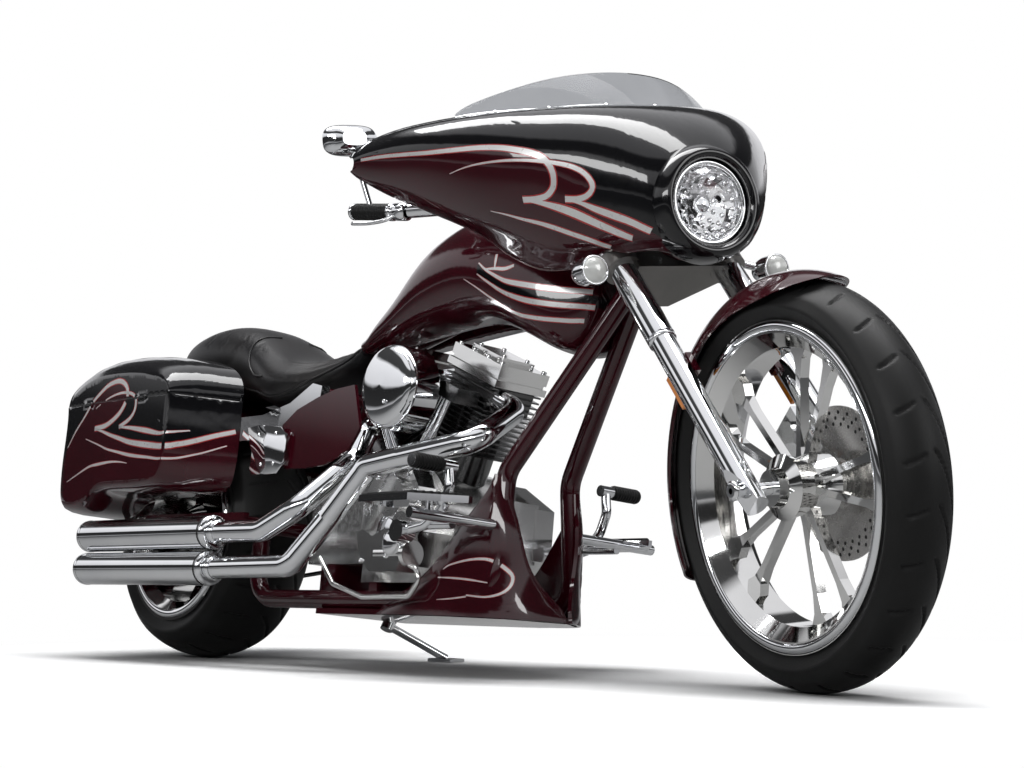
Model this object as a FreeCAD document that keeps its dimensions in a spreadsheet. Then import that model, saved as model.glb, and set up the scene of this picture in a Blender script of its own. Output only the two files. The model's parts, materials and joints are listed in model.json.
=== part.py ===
import FreeCAD, Part
import math
import os

import Sketcher
from FreeCAD import Placement, Rotation, Vector

# A long custom motorcycle with a bar-mounted fairing and two hard saddlebags.
# It is modelled upright and straight, in millimetres, with the rear axle over x = 0,
# +X forward, +Y to the rider's left and +Z up.  At the end every piece is leaned onto
# the side stand, and what steers is turned to its resting angle.

doc = FreeCAD.newDocument("chopper")

# The driving sizes

SIZES = [
    ("wheelbase", 2101, "rear axle to front axle"),
    ("lean_angle", 6.3, "lean onto the side stand, degrees"),
    ("steer_angle", 17.8, "resting turn of the bars to the right, degrees"),
    ("rake_angle", 36.6, "steering axis from the vertical, degrees"),
    ("fork_angle", 40.0, "fork legs from the vertical, degrees"),
    ("trail_length", 145, "steering axis ahead of the front contact"),
    ("rear_tyre_radius", 332, "rear tyre, outside"),
    ("rear_tyre_crown", 188, "rear tread crown radius"),
    ("rear_tyre_width", 250, "rear tyre section"),
    ("rear_rim_width", 236, "rear rim over its lips"),
    ("rear_bead_radius", 228, "rear bead seat radius"),
    ("rear_lip_radius", 245, "rear rim lip radius"),
    ("front_tyre_radius", 383.5, "front tyre, outside"),
    ("front_tyre_crown", 75, "front tread crown radius"),
    ("front_tyre_width", 136, "front tyre section"),
    ("front_rim_width", 112, "front rim over its lips"),
    ("front_bead_radius", 292, "front bead seat radius"),
    ("front_lip_radius", 309, "front rim lip radius"),
    ("rim_wall", 7, "rim barrel wall"),
    ("front_hub_radius", 62, "front hub, largest radius"),
    ("front_hub_width", 150, "front hub over its ends"),
    ("rear_hub_radius", 70, "rear hub radius"),
    ("rear_hub_width", 190, "rear hub over its ends"),
    ("spoke_count", 5, "pairs of spokes"),
    ("spoke_thickness", 20, "spoke depth across the wheel"),
    ("axle_radius", 12.5, "both axles"),
    ("axle_bore", 6, "bore through the front axle"),
    ("axle_bore_depth", 40, "depth of the bore in each end of the front axle"),
    ("running_gap", 0.3, "clearance where parts turn or seat"),
    ("disc_radius", 146, "front brake disc radius"),
    ("disc_thickness", 5, "brake disc thickness"),
    ("disc_offset", 84, "front disc centre from the wheel's middle"),
    ("pulley_radius", 118, "rear belt pulley radius"),
    ("pulley_width", 32, "rear belt pulley width"),
    ("pulley_offset", 146, "rear pulley centre from the wheel's middle"),
    ("engine_pulley_radius", 62, "gearbox belt pulley radius"),
    ("belt_thickness", 6, "drive belt thickness"),
    ("leg_spread", 125, "fork leg from the bike's middle"),
    ("leg_radius", 25, "fork slider radius"),
    ("fork_tube_radius", 29, "upper fork cover radius"),
    ("slider_length", 402, "fork slider length above the axle"),
    ("fork_length", 830, "fork leg from the axle to the top"),
    ("lower_tree_height", 617, "lower tree along the leg from the axle"),
    ("upper_tree_height", 800, "upper tree along the leg from the axle"),
    ("tree_thickness", 34, "triple tree plate thickness"),
    ("neck_radius", 34, "steering head tube radius"),
    ("stem_radius", 15, "steering stem radius"),
    ("backbone_radius", 27, "backbone tube radius"),
    ("downtube_radius", 22, "front downtube radius"),
    ("rail_radius", 16, "lower frame rail radius"),
    ("rail_spread", 110, "lower rail from the bike's middle"),
    ("tank_width", 330, "fuel tank, widest"),
    ("seat_width", 330, "rider's seat, widest"),
    ("fender_width", 292, "rear fender over its sides"),
    ("fender_gap", 24, "rear fender to the rear tyre"),
    ("fender_skin", 4, "fender skin"),
    ("front_fender_gap", 13, "front fender to the tyre"),
    ("bag_inner", 170, "saddlebag inner wall from the bike's middle"),
    ("bag_outer", 338, "saddlebag outer wall from the bike's middle"),
    ("bag_wall", 5, "saddlebag wall"),
    ("fairing_skin", 5, "fairing shell thickness"),
    ("shield_thickness", 4, "windshield thickness"),
    ("fin_length", 180, "cooling fin along the bike"),
    ("fin_width", 156, "cooling fin across the bike"),
    ("fin_count", 9, "cooling fins on each cylinder"),
    ("fin_pitch", 12, "cooling fin pitch"),
    ("fin_thickness", 4, "cooling fin thickness"),
    ("pipe_radius", 27, "exhaust pipe radius"),
    ("hood_wall", 17, "wall of the hood round the headlamp"),
    ("cleaner_radius", 96, "air cleaner radius"),
    ("cleaner_depth", 84, "air cleaner depth"),
    ("muffler_radius", 42, "exhaust muffler radius"),
    ("muffler_length", 620, "exhaust muffler length"),
    ("lamp_radius", 86, "headlamp ring radius"),
    ("stand_radius", 10, "side stand leg radius"),
    ("stand_pin", 7, "side stand pin radius"),
    ("stand_angle", 66, "side stand leg out from straight down, degrees"),
]

sheet = doc.addObject("Spreadsheet::Sheet", "Sizes")
for row, (alias, value, note) in enumerate(SIZES, 1):
    sheet.set(f"A{row}", note)
    sheet.set(f"B{row}", str(value))
    sheet.setAlias(f"B{row}", alias)
doc.recompute()


class Size:
    """A number with the spreadsheet expression that it comes from."""

    def __init__(self, value, text):
        self.value = float(value)
        self.text = text

    def __float__(self):
        return self.value

    def __add__(self, other):
        return Size(self.value + float(other), f"({self.text} + {words(other)})")

    def __radd__(self, other):
        return Size(float(other) + self.value, f"({words(other)} + {self.text})")

    def __sub__(self, other):
        return Size(self.value - float(other), f"({self.text} - {words(other)})")

    def __rsub__(self, other):
        return Size(float(other) - self.value, f"({words(other)} - {self.text})")

    def __mul__(self, other):
        return Size(self.value * float(other), f"({self.text} * {words(other)})")

    __rmul__ = __mul__

    def __truediv__(self, other):
        return Size(self.value / float(other), f"({self.text} / {words(other)})")

    def __neg__(self):
        return Size(-self.value, f"(0 - {self.text})")


def words(number):
    return number.text if isinstance(number, Size) else f"{float(number):.6f}"


class Sizes:
    """Gives each driving size by its name."""

    def __getattr__(self, alias):
        return Size(sheet.get(alias), f"Sizes.{alias}")


S = Sizes()


def degrees(size):
    return math.radians(float(size))


# Places and directions that many pieces share

RAKE = Vector(-math.sin(degrees(S.rake_angle)), 0, math.cos(degrees(S.rake_angle)))
FORK = Vector(-math.sin(degrees(S.fork_angle)), 0, math.cos(degrees(S.fork_angle)))
RAKE_FRONT = Vector(RAKE.z, 0, -RAKE.x)
FORK_FRONT = Vector(math.cos(degrees(S.fork_angle)), 0, math.sin(degrees(S.fork_angle)))
SIDE = Vector(0, 1, 0)
UP = Vector(0, 0, 1)
AHEAD = Vector(1, 0, 0)
LEAN = Rotation(AHEAD, -float(S.lean_angle))
STEER_GROUND = Vector(float(S.wheelbase) + float(S.trail_length), 0, 0)
STEER = Placement(Vector(), Rotation(RAKE, -float(S.steer_angle)), STEER_GROUND)


def rear_axle_height():
    crown = float(S.rear_tyre_crown)
    return float(S.rear_tyre_radius) - crown + crown / math.cos(degrees(S.lean_angle))


def front_axle_height():
    """Height at which the turned and leaned front tyre just meets the ground."""
    crown = float(S.front_tyre_crown)

    def lowest(height):
        centre = LEAN.multVec(STEER.multVec(Vector(float(S.wheelbase), 0, height)))
        axle = LEAN.multVec(STEER.Rotation.multVec(SIDE))
        reach = float(S.front_tyre_radius) - crown
        return centre.z - reach * math.sqrt(1 - axle.z ** 2) - crown

    at_zero = lowest(0)
    slope = lowest(1) - at_zero
    return -at_zero / slope


REAR_AXLE = Vector(0, 0, rear_axle_height())
FRONT_AXLE = Vector(float(S.wheelbase), 0, front_axle_height())


def steer_point(height):
    return STEER_GROUND + RAKE * (height / RAKE.z)


def leg_point(along, side=0.0, ahead=0.0):
    """A point on the fork, measured up the leg from the front axle."""
    return FRONT_AXLE + FORK * along + SIDE * side + FORK_FRONT * ahead


# Short ways to make the document's objects

def bind(piece, prop, size):
    if isinstance(size, Size):
        piece.setExpression(prop, size.text)
    else:
        setattr(piece, prop, float(size))


def cylinder(name, radius, length, foot, axis):
    piece = doc.addObject("Part::Cylinder", name)
    bind(piece, "Radius", radius)
    bind(piece, "Height", length)
    piece.Placement = Placement(foot, Rotation(UP, axis))
    return piece


def cross_bar(name, radius, length, centre):
    """A cylinder along Y, centred on a point."""
    return cylinder(name, radius, length, centre - SIDE * (float(length) / 2), SIDE)


def block(name, length, width, height, corner, turn=None):
    piece = doc.addObject("Part::Box", name)
    bind(piece, "Length", length)
    bind(piece, "Width", width)
    bind(piece, "Height", height)
    piece.Placement = Placement(corner, turn or Rotation())
    return piece


def fuse(name, pieces):
    piece = doc.addObject("Part::MultiFuse", name)
    piece.Shapes = pieces
    return piece


def cut(name, base, tools):
    tool = tools[0] if len(tools) == 1 else fuse(name + "_tools", tools)
    piece = doc.addObject("Part::Cut", name)
    piece.Base = base
    piece.Tool = tool
    return piece


def group(name, pieces):
    """Like pieces that share a node without touching."""
    piece = doc.addObject("Part::Compound", name)
    piece.Links = pieces
    return piece


def feature(name, shape):
    piece = doc.addObject("Part::Feature", name)
    piece.Shape = shape
    return piece


def tube_shape(points, radius, bend):
    """A round bar along straight runs joined by bends."""
    pieces = []
    start = points[0]
    for before, corner, after in zip(points, points[1:], points[2:]):
        back = (before - corner).normalize()
        on = (after - corner).normalize()
        turn = math.pi - back.getAngle(on)
        setback = bend * math.tan(turn / 2)
        centre = corner + (back + on).normalize() * (bend / math.cos(turn / 2))
        entry = corner + back * setback
        pieces.append(run_between(start, entry, radius))
        disc = Part.Face(Part.Wire([Part.Circle(entry, back, radius).toShape()]))
        axis = on.cross(back)
        pieces.append(disc.revolve(centre, axis, math.degrees(turn)))
        start = corner + on * setback
    pieces.append(run_between(start, points[-1], radius))
    return pieces[0].fuse(pieces[1:]).removeSplitter()


def run_between(start, stop, radius):
    return Part.makeCylinder(radius, (stop - start).Length, start, stop - start)


def patch(rows):
    """A smooth surface through rows of points."""
    surface = Part.BSplineSurface()
    surface.interpolate([[Vector(*point) for point in row] for row in rows])
    return surface


def evened(rows, count):
    """Rows at even steps along smooth lines through the hand-placed ones."""
    marks = [0.0]
    for first, second in zip(rows, rows[1:]):
        steps = [(Vector(*b) - Vector(*a)).Length for a, b in zip(first, second)]
        marks.append(marks[-1] + sum(steps) / len(steps))
    made = []
    for number in range(count):
        here = marks[-1] * number / (count - 1)
        spot = max(i for i in range(len(marks) - 1) if marks[i] <= here + 1e-9)
        made.append([between(rows, marks, spot, column, here)
                     for column in range(len(rows[0]))])
    return made


def between(rows, marks, spot, column, here):
    """A point on the smooth line through one column of the rows."""
    def slope(index):
        first = max(index - 1, 0)
        last = min(index + 1, len(rows) - 1)
        span = Vector(*rows[last][column]) - Vector(*rows[first][column])
        return span / (marks[last] - marks[first])

    gap = marks[spot + 1] - marks[spot]
    t = (here - marks[spot]) / gap
    start = Vector(*rows[spot][column])
    stop = Vector(*rows[spot + 1][column])
    return (start * (2 * t ** 3 - 3 * t ** 2 + 1) + stop * (3 * t ** 2 - 2 * t ** 3)
            + slope(spot) * (gap * (t ** 3 - 2 * t ** 2 + t))
            + slope(spot + 1) * (gap * (t ** 3 - t ** 2)))


def closed(faces):
    shell = Part.makeShell(faces)
    shell.sewShape()
    solid = Part.makeSolid(shell)
    if solid.Volume < 0:
        solid.reverse()
    return solid


def sheet_solid(rows, depth):
    """A skin of even depth under a smooth surface; depth is signed along its normal."""
    outer = patch(rows)
    inner_rows = []
    last_row = len(rows) - 1
    last_col = len(rows[0]) - 1
    for i, row in enumerate(rows):
        moved = []
        for j, point in enumerate(row):
            across = Vector(*rows[min(i + 1, last_row)][j]) - Vector(*rows[max(i - 1, 0)][j])
            along = Vector(*row[min(j + 1, last_col)]) - Vector(*row[max(j - 1, 0)])
            moved.append(Vector(*point) + across.cross(along).normalize() * depth)
        inner_rows.append(moved)
    inner = patch(inner_rows)
    faces = [outer.toShape(), inner.toShape()]
    low_u, high_u, low_v, high_v = outer.bounds()
    in_low_u, in_high_u, in_low_v, in_high_v = inner.bounds()
    for ours, theirs in ((outer.uIso(low_u), inner.uIso(in_low_u)),
                         (outer.uIso(high_u), inner.uIso(in_high_u)),
                         (outer.vIso(low_v), inner.vIso(in_low_v)),
                         (outer.vIso(high_v), inner.vIso(in_high_v))):
        faces.append(Part.makeRuledSurface(ours.toShape(), theirs.toShape()))
    return closed(faces)


def smooth_wire(points, closed=False):
    curve = Part.BSplineCurve()
    curve.interpolate([Vector(*p) for p in points], PeriodicFlag=closed)
    return curve.toShape()


def turned(name, plane, corners, axis, arcs=None):
    """A body turned from a sketched outline about one of the sketch's axes."""
    body = doc.addObject("PartDesign::Body", name)
    sketch = outline(body, name + "_outline", plane, corners, arcs or {})
    revolve = body.newObject("PartDesign::Revolution", name + "_turn")
    revolve.Profile = (sketch, [""])
    revolve.ReferenceAxis = (sketch, [axis])
    revolve.Angle = 360
    return body


def sketch_in(body, name, plane):
    sketch = body.newObject("Sketcher::SketchObject", name)
    origin = [item for item in body.Origin.OriginFeatures if item.Role == plane][0]
    sketch.AttachmentSupport = [(origin, "")]
    sketch.MapMode = "FlatFace"
    return sketch


def outline(body, name, plane, corners, arcs):
    """A closed outline; arcs maps a side's number to its signed radius."""
    sketch = sketch_in(body, name, plane)
    ends = []
    count = len(corners)
    for side in range(count):
        first = Vector(float(corners[side][0]), float(corners[side][1]), 0)
        last_corner = corners[(side + 1) % count]
        last = Vector(float(last_corner[0]), float(last_corner[1]), 0)
        if side in arcs:
            ends.append(sketched_arc(sketch, first, last, arcs[side]))
        else:
            sketch.addGeometry(Part.LineSegment(first, last), False)
            ends.append((1, 2))
    for side in range(count):
        follower = (side + 1) % count
        sketch.addConstraint(Sketcher.Constraint(
            "Coincident", side, ends[side][1], follower, ends[follower][0]))
    for side, corner in enumerate(corners):
        for kind, number in zip(("DistanceX", "DistanceY"), corner):
            index = sketch.addConstraint(Sketcher.Constraint(
                kind, side, ends[side][0], float(number)))
            if isinstance(number, Size):
                sketch.setExpression(f"Constraints[{index}]", number.text)
    for side, radius in arcs.items():
        index = sketch.addConstraint(Sketcher.Constraint("Radius", side, abs(float(radius))))
        if isinstance(radius, Size):
            sign = "" if float(radius) > 0 else "0 - "
            sketch.setExpression(f"Constraints[{index}]", sign + radius.text)
    return sketch


def sketched_arc(sketch, first, last, radius):
    """An arc that turns left from first to last when its radius is positive."""
    reach = abs(float(radius))
    chord = last - first
    half = chord.Length / 2
    rise = math.sqrt(max(reach ** 2 - half ** 2, 0))
    left = Vector(-chord.y, chord.x, 0).normalize()
    side = 1 if float(radius) > 0 else -1
    centre = (first + last) * 0.5 + left * (rise * side)
    circle = Part.Circle(centre, Vector(0, 0, 1), reach)
    start, stop = (first, last) if side > 0 else (last, first)
    angles = [math.atan2(p.y - centre.y, p.x - centre.x) for p in (start, stop)]
    if angles[1] < angles[0]:
        angles[1] += 2 * math.pi
    sketch.addGeometry(Part.ArcOfCircle(circle, angles[0], angles[1]), False)
    return (1, 2) if side > 0 else (2, 1)


def padded(name, plane, corners, depth, arcs=None, midplane=True):
    """A body padded from a sketched outline, to both sides of its plane."""
    body = doc.addObject("PartDesign::Body", name)
    sketch = outline(body, name + "_outline", plane, corners, arcs or {})
    pad = body.newObject("PartDesign::Pad", name + "_pad")
    pad.Profile = sketch
    bind(pad, "Length", depth)
    if midplane:
        pad.Midplane = True
    return body


# The finished pieces, by the frame that carries them

PIECES = []


def keep(piece, steers=False, at=None):
    """Notes a finished piece, whether it turns with the bars, and its upright place."""
    home = Placement(at or Vector(), Rotation()).multiply(piece.Placement)
    PIECES.append((piece, steers, home))


# Wheels and brakes

LIP_THICKNESS = 6


def tyre(name, radius, crown, width, bead, lip, rim_width):
    tread_edge = 0.42 * width
    drop = crown - Size(math.sqrt(float(crown) ** 2 - float(tread_edge) ** 2),
                        f"sqrt({crown.text} ^ 2 - {tread_edge.text} ^ 2)")
    shoulder = radius - drop
    bulge = lip + (radius - lip) * 0.35
    flank = width / 2
    seat = rim_width / 2 - LIP_THICKNESS - S.running_gap
    corners = [
        (-seat, bead + S.running_gap), (seat, bead + S.running_gap), (seat, lip),
        (flank, bulge), (tread_edge, shoulder), (-tread_edge, shoulder),
        (-flank, bulge), (-seat, lip),
    ]
    return turned(name, "YZ_Plane", corners, "H_Axis", {4: crown})


def rim_outline(width, bead, lip):
    half = width / 2
    wall = S.rim_wall
    return [
        (-half, lip), (-half, bead - wall), (-half + 26, bead - wall - 26),
        (half - 26, bead - wall - 26), (half, bead - wall), (half, lip),
        (half - LIP_THICKNESS, lip), (half - LIP_THICKNESS, bead), (half - 26, bead - 20),
        (-half + 26, bead - 20), (-half + LIP_THICKNESS, bead),
        (-half + LIP_THICKNESS, lip),
    ]


def front_wheel():
    inner = S.front_bead_radius - S.rim_wall - 26
    rim = turned("front_rim", "YZ_Plane",
                 rim_outline(S.front_rim_width, S.front_bead_radius, S.front_lip_radius),
                 "H_Axis")
    half = S.front_hub_width / 2
    radius = S.front_hub_radius
    bore = S.axle_radius + S.running_gap
    hub = turned("front_hub", "YZ_Plane", [
        (-half, bore), (half, bore), (half, radius * 0.55), (half - 18, radius * 0.62),
        (half - 30, radius), (0, radius * 0.82), (-half + 30, radius),
        (-half + 18, radius * 0.62), (-half, radius * 0.55)], "H_Axis")
    spokes = []
    count = int(float(S.spoke_count))
    for pair in range(count):
        for lean in (-1, 1):
            angle = 360.0 * pair / count + lean * 11
            spokes.append(spoke(f"front_spoke_{pair}_{'ab'[lean > 0]}", angle, inner + 2))
    return fuse("front_wheel", [rim, hub] + spokes)


def spoke(name, angle, reach):
    """A blade that is slim at its middle and flares into the rim."""
    start = float(S.front_hub_radius) * 0.7
    half = [(start, 10), (start + 30, 7), (reach - 60, 7), (reach - 24, 12), (reach, 26)]
    corners = [(x, -z) for x, z in half] + half[::-1]
    blade = padded(name, "XZ_Plane", corners, S.spoke_thickness)
    blade.Placement = Placement(Vector(), Rotation(SIDE, -angle))
    return blade


def rear_wheel():
    inner = S.rear_bead_radius - S.rim_wall - 26
    rim = turned("rear_rim", "YZ_Plane",
                 rim_outline(S.rear_rim_width, S.rear_bead_radius, S.rear_lip_radius),
                 "H_Axis")
    half = S.rear_hub_width / 2
    bore = S.axle_radius + S.running_gap
    hub = turned("rear_hub", "YZ_Plane", [
        (-half, bore), (half, bore), (half, S.rear_hub_radius * 0.7),
        (half - 30, S.rear_hub_radius), (-half + 30, S.rear_hub_radius),
        (-half, S.rear_hub_radius * 0.7)], "H_Axis")
    spokes = []
    count = int(float(S.spoke_count))
    for number in range(count):
        turn = math.radians(360.0 * number / count + 18)
        out = Vector(math.cos(turn), 0, math.sin(turn))
        across = Vector(-math.sin(turn), 0, math.cos(turn))
        start = float(S.rear_hub_radius) * 0.7
        foot = out * start + across * -20 - SIDE * 60
        spokes.append(block(f"rear_spoke_{number}", inner + 2 - start, 60, 40, foot,
                            Rotation(out, SIDE, across, "XYZ")))
    return fuse("rear_wheel", [rim, hub] + spokes)


def disc_and_carrier():
    half = S.disc_thickness / 2
    offset = S.disc_offset
    bore = S.axle_radius + S.running_gap
    hub_face = S.front_hub_width / 2 + S.running_gap
    return turned("front_disc", "YZ_Plane", [
        (hub_face, bore), (offset + half, bore), (offset + half, S.disc_radius),
        (offset - half, S.disc_radius), (offset - half, 48), (hub_face, 30)], "H_Axis")


def rear_pulley():
    half = S.pulley_width / 2
    offset = S.pulley_offset
    bore = S.axle_radius + S.running_gap
    hub_face = S.rear_hub_width / 2 + S.running_gap
    radius = S.pulley_radius
    return turned("rear_pulley", "YZ_Plane", [
        (hub_face, bore), (offset + half, bore), (offset + half, radius + 6),
        (offset + half - 4, radius + 6), (offset + half - 4, radius),
        (offset - half + 4, radius), (offset - half + 4, radius + 6),
        (offset - half, radius + 6), (offset - half, 60), (hub_face, 60)], "H_Axis")


def drive_belt():
    """The belt as one thin loop round both pulleys."""
    gap = float(S.running_gap)
    inner_rear = float(S.pulley_radius) + gap
    inner_front = float(S.engine_pulley_radius) + gap
    thick = float(S.belt_thickness)
    width = float(S.pulley_width) - 10
    front = Vector(*GEARBOX_PULLEY)
    rear = Vector(REAR_AXLE.x, float(S.pulley_offset), REAR_AXLE.z)
    front.y = rear.y

    def loop(first, second):
        span = front - rear
        distance = span.Length
        lean = math.acos((first - second) / distance)
        base = math.atan2(span.z, span.x)

        def rim(centre, radius, angle):
            return centre + Vector(math.cos(angle), 0, math.sin(angle)) * radius

        a = rim(rear, first, base + lean)
        b = rim(rear, first, base + math.pi)
        c = rim(rear, first, base - lean)
        d = rim(front, second, base - lean)
        e = rim(front, second, base)
        f = rim(front, second, base + lean)
        edges = [Part.Arc(a, b, c).toShape(), Part.LineSegment(c, d).toShape(),
                 Part.Arc(d, e, f).toShape(), Part.LineSegment(f, a).toShape()]
        return Part.Face(Part.Wire(edges))

    outer = loop(inner_rear + thick, inner_front + thick)
    inner = loop(inner_rear, inner_front)
    ring = outer.cut(inner)
    ring.translate(Vector(0, -width / 2, 0))
    return feature("drive_belt", ring.extrude(Vector(0, width, 0)))


# Frame and what it carries

CRANK = Vector(993, 0, 330)
GEARBOX_PULLEY = (690, 0, 345)
SPINE = [steer_point(890), Vector(1300, 0, 880), Vector(730, 0, 760), Vector(560, 0, 420)]
SPINE_BEND = 100
ARM_PIVOT = Vector(400, 0, 330)
ARM_PIVOT_RADIUS = 20
RAIL_HEIGHT = 150
COWL_SKIN = 8
STRUT_CROSS = Vector(665, 0, 640)
STAND_PIVOT = Vector(610, 148, 109)
STAND_DOWN = Vector(0.30, math.sin(degrees(S.stand_angle)),
                    -math.cos(degrees(S.stand_angle))).normalize()
STAND_FOLDED = Vector(-1, 0.1, -0.12).normalize()
STAND_HINGE = STAND_DOWN.cross(STAND_FOLDED).normalize()
STAND_BOSS = 12
STAND_LUG = 16


def neck_span():
    """Where the head tube starts and ends up the steering axis."""
    room = float(S.tree_thickness) / 2 + float(S.running_gap)
    return (tree_level(S.lower_tree_height)[0] + room,
            tree_level(S.upper_tree_height)[0] - room)


def downtube_route(side):
    """From the head tube down to the lower rail and up to the swingarm's pivot."""
    rail = float(S.rail_spread) * side
    return [Vector(1604, 6 * side, 866), Vector(1308, 92 * side, 430),
            Vector(1330, rail, RAIL_HEIGHT), Vector(ARM_PIVOT.x, rail, RAIL_HEIGHT),
            ARM_PIVOT + Vector(0, rail, -ARM_PIVOT_RADIUS - float(S.running_gap))]


def main_frame():
    low, high = NECK_SPAN
    neck_foot = STEER_GROUND + RAKE * low
    neck = cylinder("neck", S.neck_radius, high - low, neck_foot, RAKE)
    spine = feature("spine", tube_shape(
        SPINE, float(S.backbone_radius), SPINE_BEND))
    tubes = [neck, spine]
    for side in (-1, 1):
        tubes.append(feature(f"downtube_{'lr'[side < 0]}", tube_shape(
            downtube_route(side), float(S.downtube_radius), 70)))
    tubes.append(cross_bar("rear_cross", S.rail_radius, 2 * S.rail_spread,
                           Vector(560, 0, 150)))
    tubes.append(cylinder("seat_post", S.backbone_radius, 290, Vector(560, 0, 150), UP))
    tubes.append(cross_bar("strut_cross", S.rail_radius, S.fender_width, STRUT_CROSS))
    spread = float(S.rail_spread)
    for number, (x, top) in enumerate(((700, 235), (870, 192), (1110, 192))):
        tubes.append(block(f"engine_mount_{number}", 30, 2 * spread,
                           top - RAIL_HEIGHT - S.running_gap,
                           Vector(x, -spread, RAIL_HEIGHT)))
    lug_foot = STAND_PIVOT + STAND_HINGE * (STAND_BOSS + float(S.running_gap))
    tubes.append(cylinder("stand_lug", 17, STAND_LUG, lug_foot, STAND_HINGE))
    tubes.append(block("stand_web", 28, 36, 18, STAND_PIVOT + Vector(-14, -30, 20)))
    bores = [
        cylinder("neck_bore", S.stem_radius + S.running_gap, high - low + 2,
                 neck_foot - RAKE, RAKE),
        cylinder("lug_bore", S.stand_pin + S.running_gap, STAND_LUG + 20, lug_foot,
                 STAND_HINGE)]
    return cut("frame", fuse("frame_tubes", tubes), bores)


def swingarm():
    """Side plates that carry the rear axle, with their cross tube."""
    plates = []
    inner = float(S.bag_inner)
    for side in (-1, 1):
        y = inner * side if side > 0 else -inner - 14
        plate = padded(f"arm_plate_{'lr'[side < 0]}", "XZ_Plane", [
            (-60, REAR_AXLE.z - 26), (60, REAR_AXLE.z - 26), (425, 300), (425, 356),
            (60, REAR_AXLE.z + 26), (-60, REAR_AXLE.z + 26)], 14, midplane=False)
        plate.Placement = Placement(Vector(0, y + 14, 0), Rotation())
        plates.append(plate)
    tie = cross_bar("arm_tie", ARM_PIVOT_RADIUS, 2 * inner + 28, ARM_PIVOT)
    body = fuse("arm_parts", plates + [tie])
    bore = cross_bar("arm_bore", S.axle_radius + S.running_gap, 500, REAR_AXLE)
    return cut("swingarm", body, [bore])


def rear_axle():
    return cross_bar("rear_axle", S.axle_radius, 430, REAR_AXLE)


def fender_shell(name, centre, inner, skin, width, start, stop):
    """A hoop of skin over a wheel with side valances, between two angles."""
    half = float(width) / 2
    outer = inner + float(skin)
    deep = inner - 60
    points = [
        Vector(0, -half, deep), Vector(0, -half, outer), Vector(0, half, outer),
        Vector(0, half, deep), Vector(0, half - float(skin), deep),
        Vector(0, half - float(skin), inner), Vector(0, -half + float(skin), inner),
        Vector(0, -half + float(skin), deep), Vector(0, -half, deep)]
    face = Part.Face(Part.makePolygon(points))
    face.rotate(Vector(), SIDE, 90 - start)
    solid = face.revolve(Vector(), SIDE, start - stop)
    solid.translate(centre)
    return feature(name, solid)


def fender_outer():
    return S.rear_tyre_radius + S.fender_gap + S.fender_skin


def rear_fender():
    inner = float(S.rear_tyre_radius) + float(S.fender_gap)
    return fender_shell("rear_fender", REAR_AXLE, inner, S.fender_skin, S.fender_width,
                        40, 172)


def front_fender():
    """An arched skin close over the tyre, cut to a point in front."""
    inner = S.front_tyre_crown + S.front_fender_gap
    outer = inner + S.fender_skin
    rise = float(S.front_tyre_radius - S.front_tyre_crown)
    spread = math.radians(74)

    def arc(radius, turns):
        return [Vector(0, radius * math.sin(t), rise + radius * math.cos(t)) for t in turns]

    out = arc(float(outer), (-spread, 0, spread))
    back = arc(float(inner), (spread, 0, -spread))
    face = Part.Face(Part.Wire([
        Part.Arc(*out).toShape(), Part.LineSegment(out[2], back[0]).toShape(),
        Part.Arc(*back).toShape(), Part.LineSegment(back[2], out[0]).toShape()]))
    face.rotate(Vector(), SIDE, 90 - 69)
    shell = feature("front_fender_shell", face.revolve(Vector(), SIDE, 69 - 206))
    shell.Placement = Placement(FRONT_AXLE, Rotation())
    point = block("front_fender_point", 320, 240, 120,
                  FRONT_AXLE + Vector(-60, -120, 325 - 120 * 0.98),
                  Rotation(SIDE, -11))
    trimmed = cut("front_fender_hoop", shell, [point])
    start = float(outer) * math.sin(spread) - float(S.fender_skin) / 2
    depth = float(S.leg_spread) - float(S.leg_radius) - float(S.running_gap) - start
    brackets = []
    for side in (-1, 1):
        y = start if side > 0 else -start - depth
        brackets.append(block(f"front_fender_bracket_{side}", 24, depth, 50,
                              leg_point(300, y, -12),
                              Rotation(FORK_FRONT, SIDE, FORK, "XYZ")))
    return fuse("front_fender", [trimmed] + brackets)


def lofted(name, sections):
    wires = []
    for section in sections:
        wires.append(Part.Wire([smooth_wire(section, True)]))
    return feature(name, Part.makeLoft(wires, True, False))


def ring_section(x, z, half_width, half_height, count=12, power=2.6):
    """A rounded box section across the bike, as points of a closed curve."""
    points = []
    for number in range(count):
        angle = 2 * math.pi * number / count
        c, s = math.cos(angle), math.sin(angle)
        y = half_width * math.copysign(abs(c) ** (2 / power), c)
        rise = half_height * math.copysign(abs(s) ** (2 / power), s)
        points.append((x, y, z + rise))
    return points


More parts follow.
